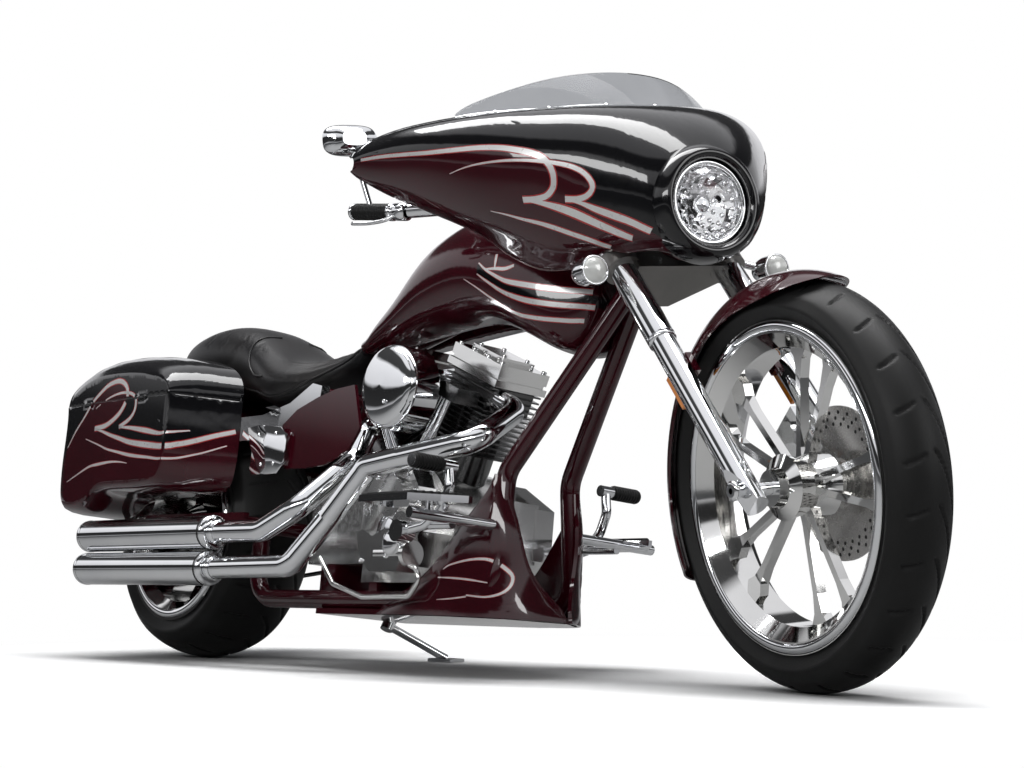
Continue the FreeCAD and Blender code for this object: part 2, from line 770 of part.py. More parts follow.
def fuel_tank():
    """A long shell over the backbone, its front lobes hanging beside the downtubes."""
    half = float(S.tank_width) / 2
    shell = lofted("tank_shell", evened([
        ring_section(700, 768, half * 0.45, 20), ring_section(860, 818, half * 0.72, 56),
        ring_section(1020, 879, half * 0.94, 102), ring_section(1180, 904, half, 124),
        ring_section(1310, 868, half * 0.92, 130), ring_section(1400, 826, half * 0.81, 130),
        ring_section(1465, 806, half * 0.6, 104), ring_section(1512, 826, half * 0.3, 44)], 14))
    gap = float(S.running_gap)
    room = float(S.backbone_radius) + gap
    tunnel = feature("tank_tunnel", tube_shape(SPINE, room, SPINE_BEND))
    slot = block("tank_slot", 700, 2 * room, 200, Vector(690, -room, 560),
                 Rotation(SIDE, -12))
    throats = []
    for side in (-1, 1):
        throats.append(feature(f"tank_throat_{'lr'[side < 0]}", tube_shape(
            downtube_route(side)[:3], float(S.downtube_radius) + gap, 70)))
    neck_room = cylinder("tank_neck_room", S.neck_radius + gap, 260,
                         STEER_GROUND + RAKE * 1000, RAKE)
    return cut("fuel_tank", shell, [tunnel, slot, neck_room] + throats)


def seat():
    half = float(S.seat_width) / 2
    shell = lofted("seat_shell", [
        ring_section(-122, 770, half * 0.5, 60), ring_section(-40, 778, half * 0.75, 84),
        ring_section(90, 780, half * 0.84, 100), ring_section(240, 766, half * 0.86, 88),
        ring_section(340, 726, half * 0.95, 80), ring_section(480, 690, half, 56),
        ring_section(600, 716, half * 0.72, 36), ring_section(660, 750, half * 0.5, 28),
        ring_section(690, 773, half * 0.4, 16)])
    rest = cross_bar("seat_rest", fender_outer() + S.running_gap, 400, REAR_AXLE)
    return cut("seat", shell, [rest])


def side_cover():
    """The painted panels below the seat, one on each side, seated on the struts."""
    panels = []
    inner = float(S.bag_inner)
    skin = 8
    for side in (-1, 1):
        panel = padded(f"side_panel_{'lr'[side < 0]}", "XZ_Plane", [
            (556, 509), (573, 459), (651, 456), (735, 460), (831, 491), (871, 541),
            (835, 645), (760, 640), (687, 625), (605, 601), (548, 567)], skin)
        panel.Placement = Placement(Vector(0, side * (inner + skin / 2), 0), Rotation())
        panels.append(panel)
    return group("side_cover", panels)


COWL_ROWS = [
    [(1300, 118, 425), (1308, 110, 425), (1315, 102, 424), (1320, 92, 423)],
    [(1262, 128, 350), (1296, 126, 350), (1324, 112, 350), (1338, 88, 350)],
    [(1210, 136, 290), (1276, 136, 290), (1334, 112, 288), (1358, 76, 285)],
    [(1150, 141, 225), (1248, 142, 225), (1336, 112, 224), (1374, 58, 222)],
    [(1050, 142, 165), (1200, 144, 163), (1344, 106, 162), (1412, 20, 160)],
    [(960, 142, 116), (1180, 146, 116), (1356, 100, 116), (1436, 4, 116)],
]


def lower_cowl():
    """Two curved blades from the downtubes to a pointed chin, with a flat floor."""
    parts = []
    for side in (-1, 1):
        rows = [[(x, y * side, z) for x, y, z in row] for row in COWL_ROWS]
        parts.append(feature(f"cowl_blade_{'lr'[side < 0]}",
                             sheet_solid(rows, -COWL_SKIN * side)))
    half = COWL_ROWS[-1]
    edge = [(x, -y) for x, y, z in half]
    floor = padded("cowl_floor", "XY_Plane", [(700, -134), (900, -140)] + edge
                   + [(x, -y) for x, y in edge[::-1]] + [(900, 140), (700, 134)], 13)
    floor_top = RAIL_HEIGHT - float(S.downtube_radius) - float(S.running_gap)
    floor.Placement = Placement(UP * (floor_top - 6.5), Rotation())
    rails = [cross_bar("cowl_bar_room", 12 + S.running_gap, 400, CONTROL_BAR)]
    for side in (-1, 1):
        rails.append(feature(f"cowl_rail_room_{'lr'[side < 0]}", tube_shape(
            downtube_route(side), float(S.downtube_radius) + float(S.running_gap), 70)))
    return cut("lower_cowl", fuse("cowl_parts", parts + [floor]), rails)


# Engine

def crankcase():
    case = cross_bar("case_drum", 132, 200, CRANK)
    sump = block("case_sump", 330, 200, 120, CRANK + Vector(-170, -100, -138))
    return fuse("crankcase", [case, sump])


def cylinder_axis(lean):
    angle = math.radians(lean)
    return Vector(math.sin(angle), 0, math.cos(angle))


def barrel(name, lean):
    axis = cylinder_axis(lean)
    across = Vector(axis.z, 0, -axis.x)
    core = cylinder(name + "_core", 56, 196, CRANK + axis * 120, axis)
    fins = []
    count = int(float(S.fin_count))
    for number in range(count):
        place = (CRANK + axis * (196 + number * float(S.fin_pitch))
                 - across * float(S.fin_length / 2) - SIDE * float(S.fin_width / 2))
        fins.append(block(f"{name}_fin_{number}", S.fin_length, S.fin_width,
                          S.fin_thickness, place, Rotation(across, SIDE, axis, "XYZ")))
    return core, fins


def engine_cylinder(name, lean):
    """A finned barrel with its finned head, a port boss and bosses for the pushrods."""
    core, fins = barrel(name, lean)
    axis = cylinder_axis(lean)
    across = Vector(axis.z, 0, -axis.x)
    turn = Rotation(across, SIDE, axis, "XYZ")

    def head_block(label, length, width, height, rise):
        corner = CRANK + axis * rise - across * (length / 2) - SIDE * (width / 2)
        return block(f"{name}_{label}", length, width, height, corner, turn)

    parts = [core, head_block("head", 150, 124, 61.7, 300)] + fins
    for number in range(5):
        parts.append(head_block(f"head_fin_{number}", 176, 144, 4, 302 + number * 13))
    outward = across if lean > 0 else -across
    parts.append(cylinder(name + "_port", 30, 88, CRANK + axis * 331 - SIDE * 38, outward))
    parts.append(block(name + "_bosses", 64, 66, 34,
                       CRANK + axis * 300 + across * (-8 if lean > 0 else -56) - SIDE * 137,
                       turn))
    saddle = cross_bar(name + "_saddle", 132.3, 220, CRANK)
    far_side = block(name + "_far_side", 200, 200, 200, CRANK + Vector(
        -199.8 if lean > 0 else -0.2, -100, 60))
    return cut(name, fuse(name + "_parts", parts), [saddle, far_side])


def rocker_boxes():
    """Each box has a broad base, a narrower waist and a lid with a raised middle."""
    boxes = []
    for name, lean in (("front_rocker", 22.5), ("rear_rocker", -22.5)):
        axis = cylinder_axis(lean)
        across = Vector(axis.z, 0, -axis.x)
        tiers = []
        for number, (length, width, height, rise) in enumerate((
                (192, 148, 16, 0), (178, 134, 24, 8), (186, 142, 26, 24),
                (120, 92, 20, 42))):
            corner = (CRANK + axis * (362.3 + rise) - across * (length / 2)
                      - SIDE * (width / 2))
            tiers.append(block(f"{name}_{number}", length, width, height, corner,
                               Rotation(across, SIDE, axis, "XYZ")))
        boxes.append(fuse(name, tiers))
    return group("rocker_boxes", boxes)


def pushrod_tubes():
    tubes = []
    for name, lean, shift in (("a", 22.5, 10), ("b", 22.5, 40), ("c", -22.5, -10),
                              ("d", -22.5, -40)):
        foot = CRANK + Vector(shift, -122, 115.5)
        axis = cylinder_axis(lean)
        across = Vector(axis.z, 0, -axis.x)
        top = CRANK + axis * 297.5 + across * (shift * 0.4) - SIDE * 122
        tubes.append(cylinder("pushrod_" + name, 9, (top - foot).Length, foot, top - foot))
    return group("pushrod_tubes", tubes)


def cam_cover():
    """The cam case with a brake master cylinder on its face and the hose that leaves it."""
    case = padded("cam_case", "XZ_Plane", [
        (890, 270), (960, 215), (1060, 225), (1110, 300), (1090, 400), (1060, 440),
        (930, 440), (890, 380)], 60)
    face = -30
    lobe = cylinder("cam_lobe", 46, 18, Vector(1010, face + 1, 378), -SIDE)
    small = cylinder("cam_small_lobe", 30, 26, Vector(1066, face + 1, 312), -SIDE)
    master = padded("master_body", "XZ_Plane", [
        (941, 292), (964, 232), (1000, 206), (1100, 206), (1112, 250), (1096, 300),
        (1040, 300), (1000, 284), (966, 300)], 50)
    master.Placement = Placement(SIDE * (face - 24), Rotation())
    reservoir = cylinder("master_reservoir", 26, 110, Vector(1010, face - 24, 246), AHEAD)
    cap = cylinder("master_cap", 30, 14, Vector(1108, face - 24, 246), AHEAD)
    hose = feature("master_hose", tube_shape(
        [Vector(x, face - 24, z) for x, z in HOSE_ROUTE], 6, HOSE_BEND))
    return fuse("cam_cover", [case, lobe, small, master, reservoir, cap, hose])


HOSE_ROUTE = [(1090, 228), (1170, 205), (1120, 153), (950, 150), (830, 180), (770, 240)]
HOSE_BEND = 25


def air_cleaner():
    """The round cleaner with its throat reaching in between the two heads."""
    can = turned("cleaner_can", "YZ_Plane", [
        (0, 0), (0, S.cleaner_radius - 6), (-6, S.cleaner_radius),
        (18 - S.cleaner_depth, S.cleaner_radius),
        (-S.cleaner_depth, S.cleaner_radius - 18), (-S.cleaner_depth, 0)], "H_Axis",
        {3: 18})
    can.Placement = Placement(Vector(1028, -146, 619), Rotation())
    throat = cylinder("cleaner_throat", 24, 112, Vector(993, -152, 666), SIDE)
    axis = cylinder_axis(22.5)
    across = Vector(axis.z, 0, -axis.x)
    low = axis * 306 - across * (88 + float(S.running_gap))
    high = axis * 352 - across * (88 + float(S.running_gap))
    x, z = CRANK.x, CRANK.z
    intake = padded("cleaner_intake", "XZ_Plane", [
        (x + low.x, z + low.z), (x + high.x, z + high.z), (x - high.x, z + high.z),
        (x - low.x, z + low.z)], 100)
    return fuse("air_cleaner", [can, throat, intake])


def primary_cover():
    """The primary case, with its inner half reaching back to the crankcase."""
    outer = padded("primary_outer", "XZ_Plane", [
        (600, 250), (700, 215), (1000, 200), (1110, 270), (1110, 390), (1000, 450),
        (700, 440), (600, 400)], 56)
    outer.Placement = Placement(SIDE * 200, Rotation())
    inner = block("primary_inner", 230, 80, 140, CRANK + Vector(-115, 100.3, -70))
    return fuse("primary_cover", [outer, inner])


def transmission():
    return block("transmission", 222.7, 200, 200, Vector(600, -100, 235))


PIPE_Y = -268


def exhaust():
    """Two pipes from the heads' ports into two mufflers stacked on the right side."""
    bore = float(S.pipe_radius) - 4
    across = cylinder_axis(-67.5) * -1
    port = CRANK + cylinder_axis(22.5) * 331 + across * (88 + float(S.running_gap))
    port.y = -38
    front = [port, port + across * 62, Vector(1292, -172, 489), Vector(1080, -200, 459),
             Vector(955, -206, 444), Vector(850, -226, 325), Vector(765, -264, 213),
             Vector(430, PIPE_Y, 208)]
    port = Vector(2 * CRANK.x - port.x, port.y, port.z)
    across = Vector(-across.x, 0, across.z)
    rear = [port, port + across * 78, Vector(775, -118, 476), Vector(745, -240, 352),
            Vector(640, PIPE_Y, 295), Vector(430, PIPE_Y, 295)]
    pieces = []
    for name, route, height in (("upper", rear, 295), ("lower", front, 208)):
        pipe = feature(f"{name}_pipe_bar", tube_shape(route, float(S.pipe_radius), 40))
        far = route[:-1] + [route[-1] - AHEAD * 2]
        hollow = feature(f"{name}_pipe_bore", tube_shape(far, bore, 40))
        can = cylinder(f"{name}_muffler", S.muffler_radius, S.muffler_length,
                       Vector(430, PIPE_Y, height), -AHEAD)
        hole = cylinder(f"{name}_muffler_bore", S.muffler_radius - 6, 300,
                        Vector(429 - float(S.muffler_length), PIPE_Y, height), AHEAD)
        pieces.append(cut(f"{name}_exhaust", fuse(f"{name}_run", [pipe, can]),
                          [hollow, hole]))
    return group("exhaust", pieces)


# Saddlebags

LID_SEAM = 640
BAG_REAR = -303
BAG_FRONT = 345
BAG_LOW = [(-300, 520), (-298, 420), (-277, 368), (-206, 352), (-130, 366), (-60, 394),
           (20, 402), (140, 401), (250, 404), (318, 420), (341, 480), (345, 560)]
LID_TOP = [(-296, 676), (-258, 714), (-190, 748), (-110, 769), (-20, 775), (90, 770),
           (190, 756), (270, 735), (322, 705), (343, 670)]
LID_LEVELS = [(0, 1.0), (60, 0.985), (95, 0.94), (120, 0.875), (140, 0.79), (156, 0.68),
              (168, 0.53)]
BAG_LEVELS = [(0, 1.0), (100, 1.0), (130, 0.99), (150, 0.975), (162, 0.955), (168, 0.93)]


def bag_rear(out):
    """The rear end moves in where the outer corner is rounded."""
    past = max(0.0, out - 118)
    return BAG_REAR + 50 - math.sqrt(max(50.0 ** 2 - past ** 2, 0))


def bag_front(out):
    """The front face slants back towards the outside."""
    return BAG_FRONT - 83 * out / 168


def bag_section(points, levels, number, wall, gap):
    """One closed section of a bag half, straight along the seam and smooth elsewhere."""
    out, share = levels[number]
    rear = bag_rear(out) + wall
    front = bag_front(out) - wall
    seam = LID_SEAM + gap
    level = LID_SEAM + gap * 0.3
    scale = (front - rear) / (BAG_FRONT - BAG_REAR)
    curve = [(rear, out, seam)]
    for x, z in points:
        rise = (z - level) * share
        rise -= math.copysign(min(wall, abs(rise)), rise)
        curve.append((rear + (x - BAG_REAR) * scale, out, level + rise))
    curve.append((front, out, seam))
    top = smooth_wire(curve)
    base = Part.LineSegment(Vector(*curve[-1]), Vector(*curve[0])).toShape()
    return Part.Wire([top, base])


def bag_half(name, points, levels, side, gap):
    """A hollow shell, open at the seam, whose shoulders round in towards the outside."""
    wall = float(S.bag_wall)
    inner = float(S.bag_inner)
    shapes = []
    for thickness, past in ((0, gap), (wall, -gap * 10)):
        sections = []
        for number in range(len(levels)):
            section = bag_section(points, levels, number, thickness, past)
            section.translate(Vector(0, -thickness if number == len(levels) - 1 else
                                     thickness * (number == 0), 0))
            sections.append(section)
        shapes.append(Part.makeLoft(sections, True, True))
    shell = shapes[0].cut(shapes[1])
    if side < 0:
        shell = shell.mirror(Vector(), SIDE)
    shell.translate(SIDE * (side * inner))
    return feature(name, shell)


def hinge_pins(name, side, radius, length):
    """Knuckles on the lid's hinge line along the outer seam."""
    return [cylinder(f"{name}_{number}", radius, length,
                     Vector(x - length / 2, float(S.bag_outer) * side, LID_SEAM), AHEAD)
            for number, x in enumerate((-150, 130))]


def saddlebag(name, side):
    shell = bag_half(name + "_shell", BAG_LOW, BAG_LEVELS, side, -0.15)
    grooves = hinge_pins(name + "_groove", side, KNUCKLE + float(S.running_gap), 40.6)
    return cut(name, shell, grooves)


def bag_lid(name, side):
    shell = bag_half(name + "_shell", LID_TOP, LID_LEVELS, side, 0.15)
    return fuse(name, [shell] + hinge_pins(name + "_knuckle", side, KNUCKLE, 40))


KNUCKLE = 4

# Controls and small parts on the frame

BOARD_TOP = {-1: 354, 1: 324}
BOARD_PLAN = [(1130, 256), (1402, 256), (1402, 266), (1355, 302), (1301, 348), (1130, 348)]
BOARD_THICKNESS = 15
CONTROL_BAR = Vector(1315, 0, 313)
CONTROL_ROOT = 122.5
PEDAL_PATH = {-1: [(1155, 288), (1235, 300), (1290, 334), (1306, 380), (1298, 424)],
              1: [(1155, 288), (1218, 301), (1256, 343), (1272, 386), (1263, 436)]}


def forward_controls(name, side):
    """Floorboard, curved pedal and peg on one bar that comes through the cowl."""
    bar = cylinder(name + "_bar", 12, 350 - CONTROL_ROOT,
                   CONTROL_BAR + SIDE * (CONTROL_ROOT * side), SIDE * side)
    plan = BOARD_PLAN if side > 0 else [(x, -y) for x, y in BOARD_PLAN[::-1]]
    board = padded(name + "_board", "XY_Plane", plan, BOARD_THICKNESS)
    middle = BOARD_TOP[side] - BOARD_THICKNESS / 2
    board.Placement = Placement(UP * middle, Rotation())
    post = cylinder(name + "_post", 8, middle - CONTROL_BAR.z,
                    CONTROL_BAR + SIDE * (300 * side), UP)
    path = PEDAL_PATH[side]
    arm = feature(name + "_arm", tube_shape(
        [Vector(x, 243 * side, z) for x, z in path], 11, 30))
    link = cylinder(name + "_link", 9, 160, Vector(1160, 238 * side, 300), AHEAD)
    tip_x, tip_z = path[-1]
    peg = cylinder(name + "_peg", 13, 117, Vector(tip_x, 227 * side, tip_z), SIDE * side)
    return fuse(name, [bar, board, post, arm, link, peg,
                       cross_bar(name + "_boss", 24, 36, Vector(1155, 243 * side, 288))])


def side_stand():
    """The leg turns on a pin that rises through the frame's lug."""
    pivot = STAND_PIVOT
    down = STAND_DOWN
    lowest = LEAN.multVec(pivot)
    slope = LEAN.multVec(down)
    reach = (lowest.z - 8) / -slope.z
    leg = cylinder("stand_leg", S.stand_radius, reach, pivot, down)
    foot_point = pivot + down * reach
    flat = LEAN.inverted()
    foot = block("stand_foot", 90, 46, 8, foot_point + flat.multVec(Vector(-45, -23, -8)),
                 flat)
    boss = cylinder("stand_boss", 16, 2 * STAND_BOSS, pivot - STAND_HINGE * STAND_BOSS,
                    STAND_HINGE)
    pin = cylinder("stand_pin_bar", S.stand_pin, 2 * STAND_BOSS + STAND_LUG,
                   pivot - STAND_HINGE * STAND_BOSS, STAND_HINGE)
    return fuse("side_stand", [leg, foot, boss, pin])


def tail_lamp():
    """A lamp seated on the rear fender's skin."""
    angle = math.radians(152)
    out = Vector(math.cos(angle), 0, math.sin(angle))
    along = Vector(-out.z, 0, out.x)
    corner = (REAR_AXLE + out * (float(fender_outer()) + float(S.running_gap))
              - along * 28 - SIDE * 55)
    body = block("lamp_body", 26, 110, 56, corner, Rotation(out, SIDE, out.cross(SIDE), "XYZ"))
    foot = cross_bar("lamp_foot_room", fender_outer() + S.running_gap, 120, REAR_AXLE)
    return cut("tail_lamp", body, [foot])


def bag_mounts():
    """Strut plates from the frame's cross tube back between the fender and the bags."""
    inner = S.fender_width / 2 + S.running_gap
    outer = S.bag_inner - S.running_gap
    plates = []
    for side in (-1, 1):
        plate = padded(f"strut_plate_{'lr'[side < 0]}", "XZ_Plane", [
            (-60, 540), (480, 540), (600, 590), (685, 620), (690, 655), (650, 664),
            (560, 622), (440, 600), (-60, 600)], outer - inner)
        plate.Placement = Placement(SIDE * (side * float(inner + outer) / 2), Rotation())
        cover = padded(f"strut_cover_{'lr'[side < 0]}", "XZ_Plane", [
            (446, 558), (438, 460), (448, 448), (506, 446), (574, 467), (581, 478),
            (565, 540), (553, 549), (458, 561)], 12)
        cover.Placement = Placement(SIDE * (184.5 * side), Rotation())
        spacer = block(f"strut_spacer_{'lr'[side < 0]}", 70, 20, 14,
                       Vector(455, 163 if side > 0 else -183, 544))
        plates.append(fuse(f"strut_{'lr'[side < 0]}", [plate, cover, spacer]))
    return group("bag_mounts", plates)


# Fork and fairing

LAMP_CENTRE = Vector(1858, 0, 958)
LAMP_BACK = LAMP_CENTRE.x - 60


def fork_legs():
    legs = []
    for side in (-1, 1):
        spread = float(S.leg_spread) * side
        low = cylinder(f"slider_{side}", S.leg_radius, S.slider_length + 40,
                       leg_point(-40, spread), FORK)
        high = cylinder(f"fork_tube_{side}", S.fork_tube_radius,
                        S.fork_length - S.slider_length,
                        leg_point(float(S.slider_length), spread), FORK)
        leg = fuse(f"leg_{side}", [low, high])
        taper = block(f"leg_taper_{side}", 120, 60, 160,
                      leg_point(-60, spread + (4 if side > 0 else -64), -60),
                      Rotation(FORK_FRONT, SIDE, FORK, "XYZ").multiply(
                          Rotation(AHEAD, -11.3 * side)))
        hole = cross_bar(f"leg_bore_{side}", S.axle_radius, 120,
                         FRONT_AXLE + SIDE * spread)
        legs.append(cut(f"fork_leg_{side}", leg, [taper, hole]))
    return group("fork_legs", legs)


def tree_level(along):
    """Height of a tree's middle up the steering axis, and the legs' lead there."""
    span = leg_point(float(along)) - STEER_GROUND
    return span.dot(RAKE), span.dot(RAKE_FRONT)


def triple_trees():
    """Two plates square to the steering stem, with bored clamps for the raked legs."""
    parts = []
    thick = float(S.tree_thickness)
    spread = float(S.leg_spread)
    turn = Rotation(RAKE_FRONT, SIDE, RAKE, "XYZ")
    for name, along in (("lower", S.lower_tree_height), ("upper", S.upper_tree_height)):
        level, lead = tree_level(along)
        plate = padded(f"{name}_tree", "XY_Plane", [
            (-30, -26), (lead - 34, -spread), (lead + 28, -spread), (lead + 28, spread),
            (lead - 34, spread), (-30, 26)], S.tree_thickness)
        plate.Placement = Placement(STEER_GROUND + RAKE * level, turn)
        parts.append(plate)
        for side in (-1, 1):
            parts.append(cylinder(f"{name}_clamp_{side}", S.fork_tube_radius + 9.6, thick,
                                  leg_point(float(along), spread * side) - FORK * (thick / 2),
                                  FORK))
    level, lead = tree_level(S.lower_tree_height)
    parts.append(block("tree_lip", 12, 2 * (S.leg_spread - 20), 50,
                       STEER_GROUND + RAKE * (level - 33) + RAKE_FRONT * (lead + 17)
                       - SIDE * (float(S.leg_spread) - 20), turn))
    low, high = NECK_SPAN
    stem = cylinder("stem", S.stem_radius, high - low + 2 * thick,
                    STEER_GROUND + RAKE * (low - thick), RAKE)
    for side in (-1, 1):
        parts.append(cylinder(f"lamp_stay_{side}", 12, LAMP_BACK - 1600 - S.running_gap,
                              Vector(1600, 50 * side, 995), AHEAD))
    body = fuse("tree_parts", parts + [stem])
    holes = []
    for side in (-1, 1):
        holes.append(cylinder(f"tree_hole_{side}", S.fork_tube_radius, 500,
                              leg_point(450, float(S.leg_spread) * side), FORK))
    return cut("triple_trees", body, holes)


def handlebar():
    points = [Vector(1088, -440, 1072), Vector(1200, -392, 1052), Vector(1390, -270, 1034),
              Vector(1520, -110, 1032), Vector(1520, 110, 1032), Vector(1390, 270, 1034),
              Vector(1200, 392, 1052), Vector(1088, 440, 1072)]
    bar = feature("bar_tube", tube_shape(points, 16, 60))
    level, lead = tree_level(S.upper_tree_height)
    seat = level + float(S.tree_thickness) / 2 + float(S.running_gap)
    riser = block("bar_riser", 44, 160, 60,
                  STEER_GROUND + RAKE * seat + RAKE_FRONT * (lead - 55) - SIDE * 80,
                  Rotation(RAKE_FRONT, SIDE, RAKE, "XYZ"))
    mirrors = []
    for side in (-1, 1):
        foot = Vector(1138, 420 * side, 1064)
        head = Vector(1106, 445 * side, 1230)
        stalk = cylinder(f"mirror_stalk_{side}", 6, (head - foot).Length, foot, head - foot)
        mirrors += [stalk, mirror_head(side, head)]
    return fuse("handlebar", [bar, riser] + mirrors)


def mirror_head(side, centre):
    """A rounded shell, open to a flat glass on its rear face."""
    sections = []
    for ahead, size in ((-18, 0.9), (-14, 1.0), (4, 0.98), (16, 0.8), (24, 0.46)):
        sections.append([(centre.x + ahead, centre.y + y, z) for x, y, z in
                         ring_section(0, centre.z, 62 * size, 34 * size, 16, 3.2)])
    return lofted(f"mirror_head_{side}", sections)


def headlamp():
    centre = LAMP_CENTRE
    shell = cylinder("lamp_shell", S.lamp_radius, 60, centre - AHEAD * 60, AHEAD)
    lens = doc.addObject("Part::Sphere", "lamp_glass")
    bind(lens, "Radius", S.lamp_radius * 1.6)
    lens.Placement = Placement(centre - AHEAD * (float(S.lamp_radius) * 1.25), Rotation())
    cap = doc.addObject("Part::Common", "lamp_lens")
    cap.Base = lens
    cap.Tool = cylinder("lens_edge", S.lamp_radius - 8, 60, centre - AHEAD * 1, AHEAD)
    return fuse("headlamp", [shell, cap])


FAIRING_ROWS = [
    (0, [(1620, 1200), (1700, 1182), (1768, 1148), (1820, 1095), (1846, 1040), (1850, 960),
         (1846, 890), (1825, 858), (1790, 852)]),
    (100, [(1600, 1203), (1690, 1182), (1760, 1145), (1812, 1090), (1838, 1040),
           (1845, 970), (1838, 912), (1820, 890), (1785, 882)]),
    (200, [(1535, 1205), (1620, 1190), (1690, 1155), (1735, 1105), (1752, 1050),
           (1748, 980), (1706, 920), (1610, 886), (1522, 878)]),
    (300, [(1440, 1213), (1540, 1188), (1600, 1142), (1622, 1090), (1612, 1035),
           (1580, 998), (1530, 978), (1450, 972), (1382, 989)]),
    (400, [(1282, 1214), (1352, 1200), (1402, 1172), (1418, 1138), (1410, 1108),
           (1380, 1088), (1335, 1078), (1280, 1076), (1228, 1082)]),
    (455, [(1180, 1196), (1216, 1190), (1246, 1178), (1256, 1164), (1252, 1148),
           (1238, 1136), (1216, 1130), (1196, 1128), (1180, 1130)]),
    (474, [(1168, 1176), (1180, 1174), (1190, 1170), (1194, 1164), (1192, 1158),
           (1186, 1153), (1180, 1150), (1174, 1149), (1168, 1150)]),
]


def fairing_grid():
    """The outer face from the right wing tip over the middle to the left one."""
    rows = [[(x, -y, z) for x, z in row] for y, row in reversed(FAIRING_ROWS)]
    rows += [[(x, y, z) for x, z in row] for y, row in FAIRING_ROWS[1:]]
    profiles = list(zip(*evened(rows, 27)))
    return [list(row) for row in zip(*evened(profiles, 12))]


def fairing():
    """One smooth skin, open round the fork legs, with a hood about the headlamp."""
    rooms = [run_between(leg_point(500, float(S.leg_spread) * side),
                         leg_point(920, float(S.leg_spread) * side),
                         float(S.fork_tube_radius) + 13) for side in (-1, 1)]
    skin = sheet_solid(fairing_grid(), -float(S.fairing_skin)).cut(rooms)
    back = Vector(1762, 0, LAMP_CENTRE.z)
    front = LAMP_CENTRE + AHEAD * 12
    radius = float(S.lamp_radius) + float(S.running_gap)
    lamp_room = run_between(back - AHEAD * 60, front + AHEAD * 60, radius)
    hood = run_between(back, front, radius + float(S.hood_wall)).cut(lamp_room)
    return feature("fairing", skin.fuse(hood).cut(lamp_room))


SHIELD_RISES = [(322, 1226, 14), (285, 1248, 32), (225, 1266, 44), (150, 1282, 58),
                (75, 1289, 65), (0, 1291, 67)]


def windshield():
    """A low clear sheet that rises from behind the fairing's top edge."""
    gap = float(S.running_gap) + 0.9
    edge = patch(fairing_grid()).vIso(0)
    rises = SHIELD_RISES + [(-y, top, back) for y, top, back in SHIELD_RISES[-2::-1]]
    rows = [[], [], []]
    for y, top, back in rises:
        base = on_edge(edge, y)
        for row, share in zip(rows, (0.0, 0.55, 1.0)):
            row.append((base.x - gap - back * share ** 1.3, y,
                        base.z + (top - base.z) * share))
    return feature("windshield", sheet_solid(rows, -float(S.shield_thickness)))


def on_edge(curve, y):
    """The point of a curve that runs across the bike, at one distance from the middle."""
    low, high = curve.FirstParameter, curve.LastParameter
    rising = curve.value(high).y > curve.value(low).y
    for turn in range(50):
        middle = (low + high) / 2
        if (curve.value(middle).y < y) == rising:
            low = middle
        else:
            high = middle
    return curve.value(low)


def turn_signals():
    lamps = []
    for side in (-1, 1):
        centre = Vector(1760, 215 * side, 840)
        foot = leg_point(float(S.lower_tree_height), (float(S.leg_spread) + 43) * side)
        reach = centre - AHEAD * 34 - foot
        body = turned(f"signal_body_{side}", "XZ_Plane", [
            (0, 0), (26, 0), (29, -4), (29, -30), (18, -66), (0, -72)], "V_Axis",
            {3: -80})
        body.Placement = Placement(centre, Rotation(UP, AHEAD))
        stalk = cylinder(f"signal_stalk_{side}", 8, reach.Length, foot, reach)
        lamps.append(fuse(f"signal_{side}", [body, stalk]))
    return group("turn_signals", lamps)


def front_axle_half():
    return float(S.leg_spread) + 35


def front_axle():
    bar = cross_bar("front_axle_bar", S.axle_radius, 2 * front_axle_half(), FRONT_AXLE)
    half = front_axle_half()
    bores = []
    for side in (-1, 1):
        foot = FRONT_AXLE + SIDE * (half * side)
        bores.append(cylinder(f"axle_bore_{side}", S.axle_bore, S.axle_bore_depth,
                              foot, SIDE * -side))
    return cut("front_axle", bar, bores)


def front_caliper():
    """Straddles the disc, bolted to the inside of the left slider."""
    turn = Rotation(FORK_FRONT, SIDE, FORK, "XYZ")
    outer = float(S.leg_spread) - float(S.leg_radius) - float(S.running_gap)
    body = block("caliper_body", 100, outer - 72, 110, leg_point(90, 72, -96), turn)
    room = cross_bar("caliper_slot", S.disc_radius + 3, S.disc_thickness + 2,
                     FRONT_AXLE + SIDE * float(S.disc_offset))
    return cut("front_caliper", body, [room])


def reflectors():
    strips = []
    seat = float(S.leg_radius) + float(S.running_gap)
    for side in (-1, 1):
        y = float(S.leg_spread) * side - 4
        strips.append(block(f"reflector_{side}", 18, 8, 80, leg_point(250, y, -18 - seat),
                            Rotation(FORK_FRONT, SIDE, FORK, "XYZ")))
    return group("reflectors", strips)


NECK_SPAN = neck_span()

# Build everything

keep(main_frame())
keep(swingarm())
keep(rear_axle())
keep(rear_fender())
keep(fuel_tank())
keep(seat())
keep(side_cover())
keep(lower_cowl())
keep(crankcase())
keep(engine_cylinder("front_cylinder", 22.5))
keep(engine_cylinder("rear_cylinder", -22.5))
keep(rocker_boxes())
keep(pushrod_tubes())
keep(cam_cover(), at=Vector(0, -130.3, 0))
keep(air_cleaner())
keep(primary_cover())
keep(transmission())
keep(exhaust())
keep(drive_belt())
keep(bag_mounts())
for side_name, side_sign in (("right", -1), ("left", 1)):
    keep(saddlebag(f"saddlebag_{side_name}", side_sign))
    keep(bag_lid(f"bag_lid_{side_name}", side_sign))
    keep(forward_controls(f"{side_name}_controls", side_sign))
keep(side_stand())
keep(tail_lamp())
keep(tyre("rear_tyre", S.rear_tyre_radius, S.rear_tyre_crown, S.rear_tyre_width,
          S.rear_bead_radius, S.rear_lip_radius, S.rear_rim_width), at=REAR_AXLE)
keep(rear_wheel(), at=REAR_AXLE)
keep(rear_pulley(), at=REAR_AXLE)
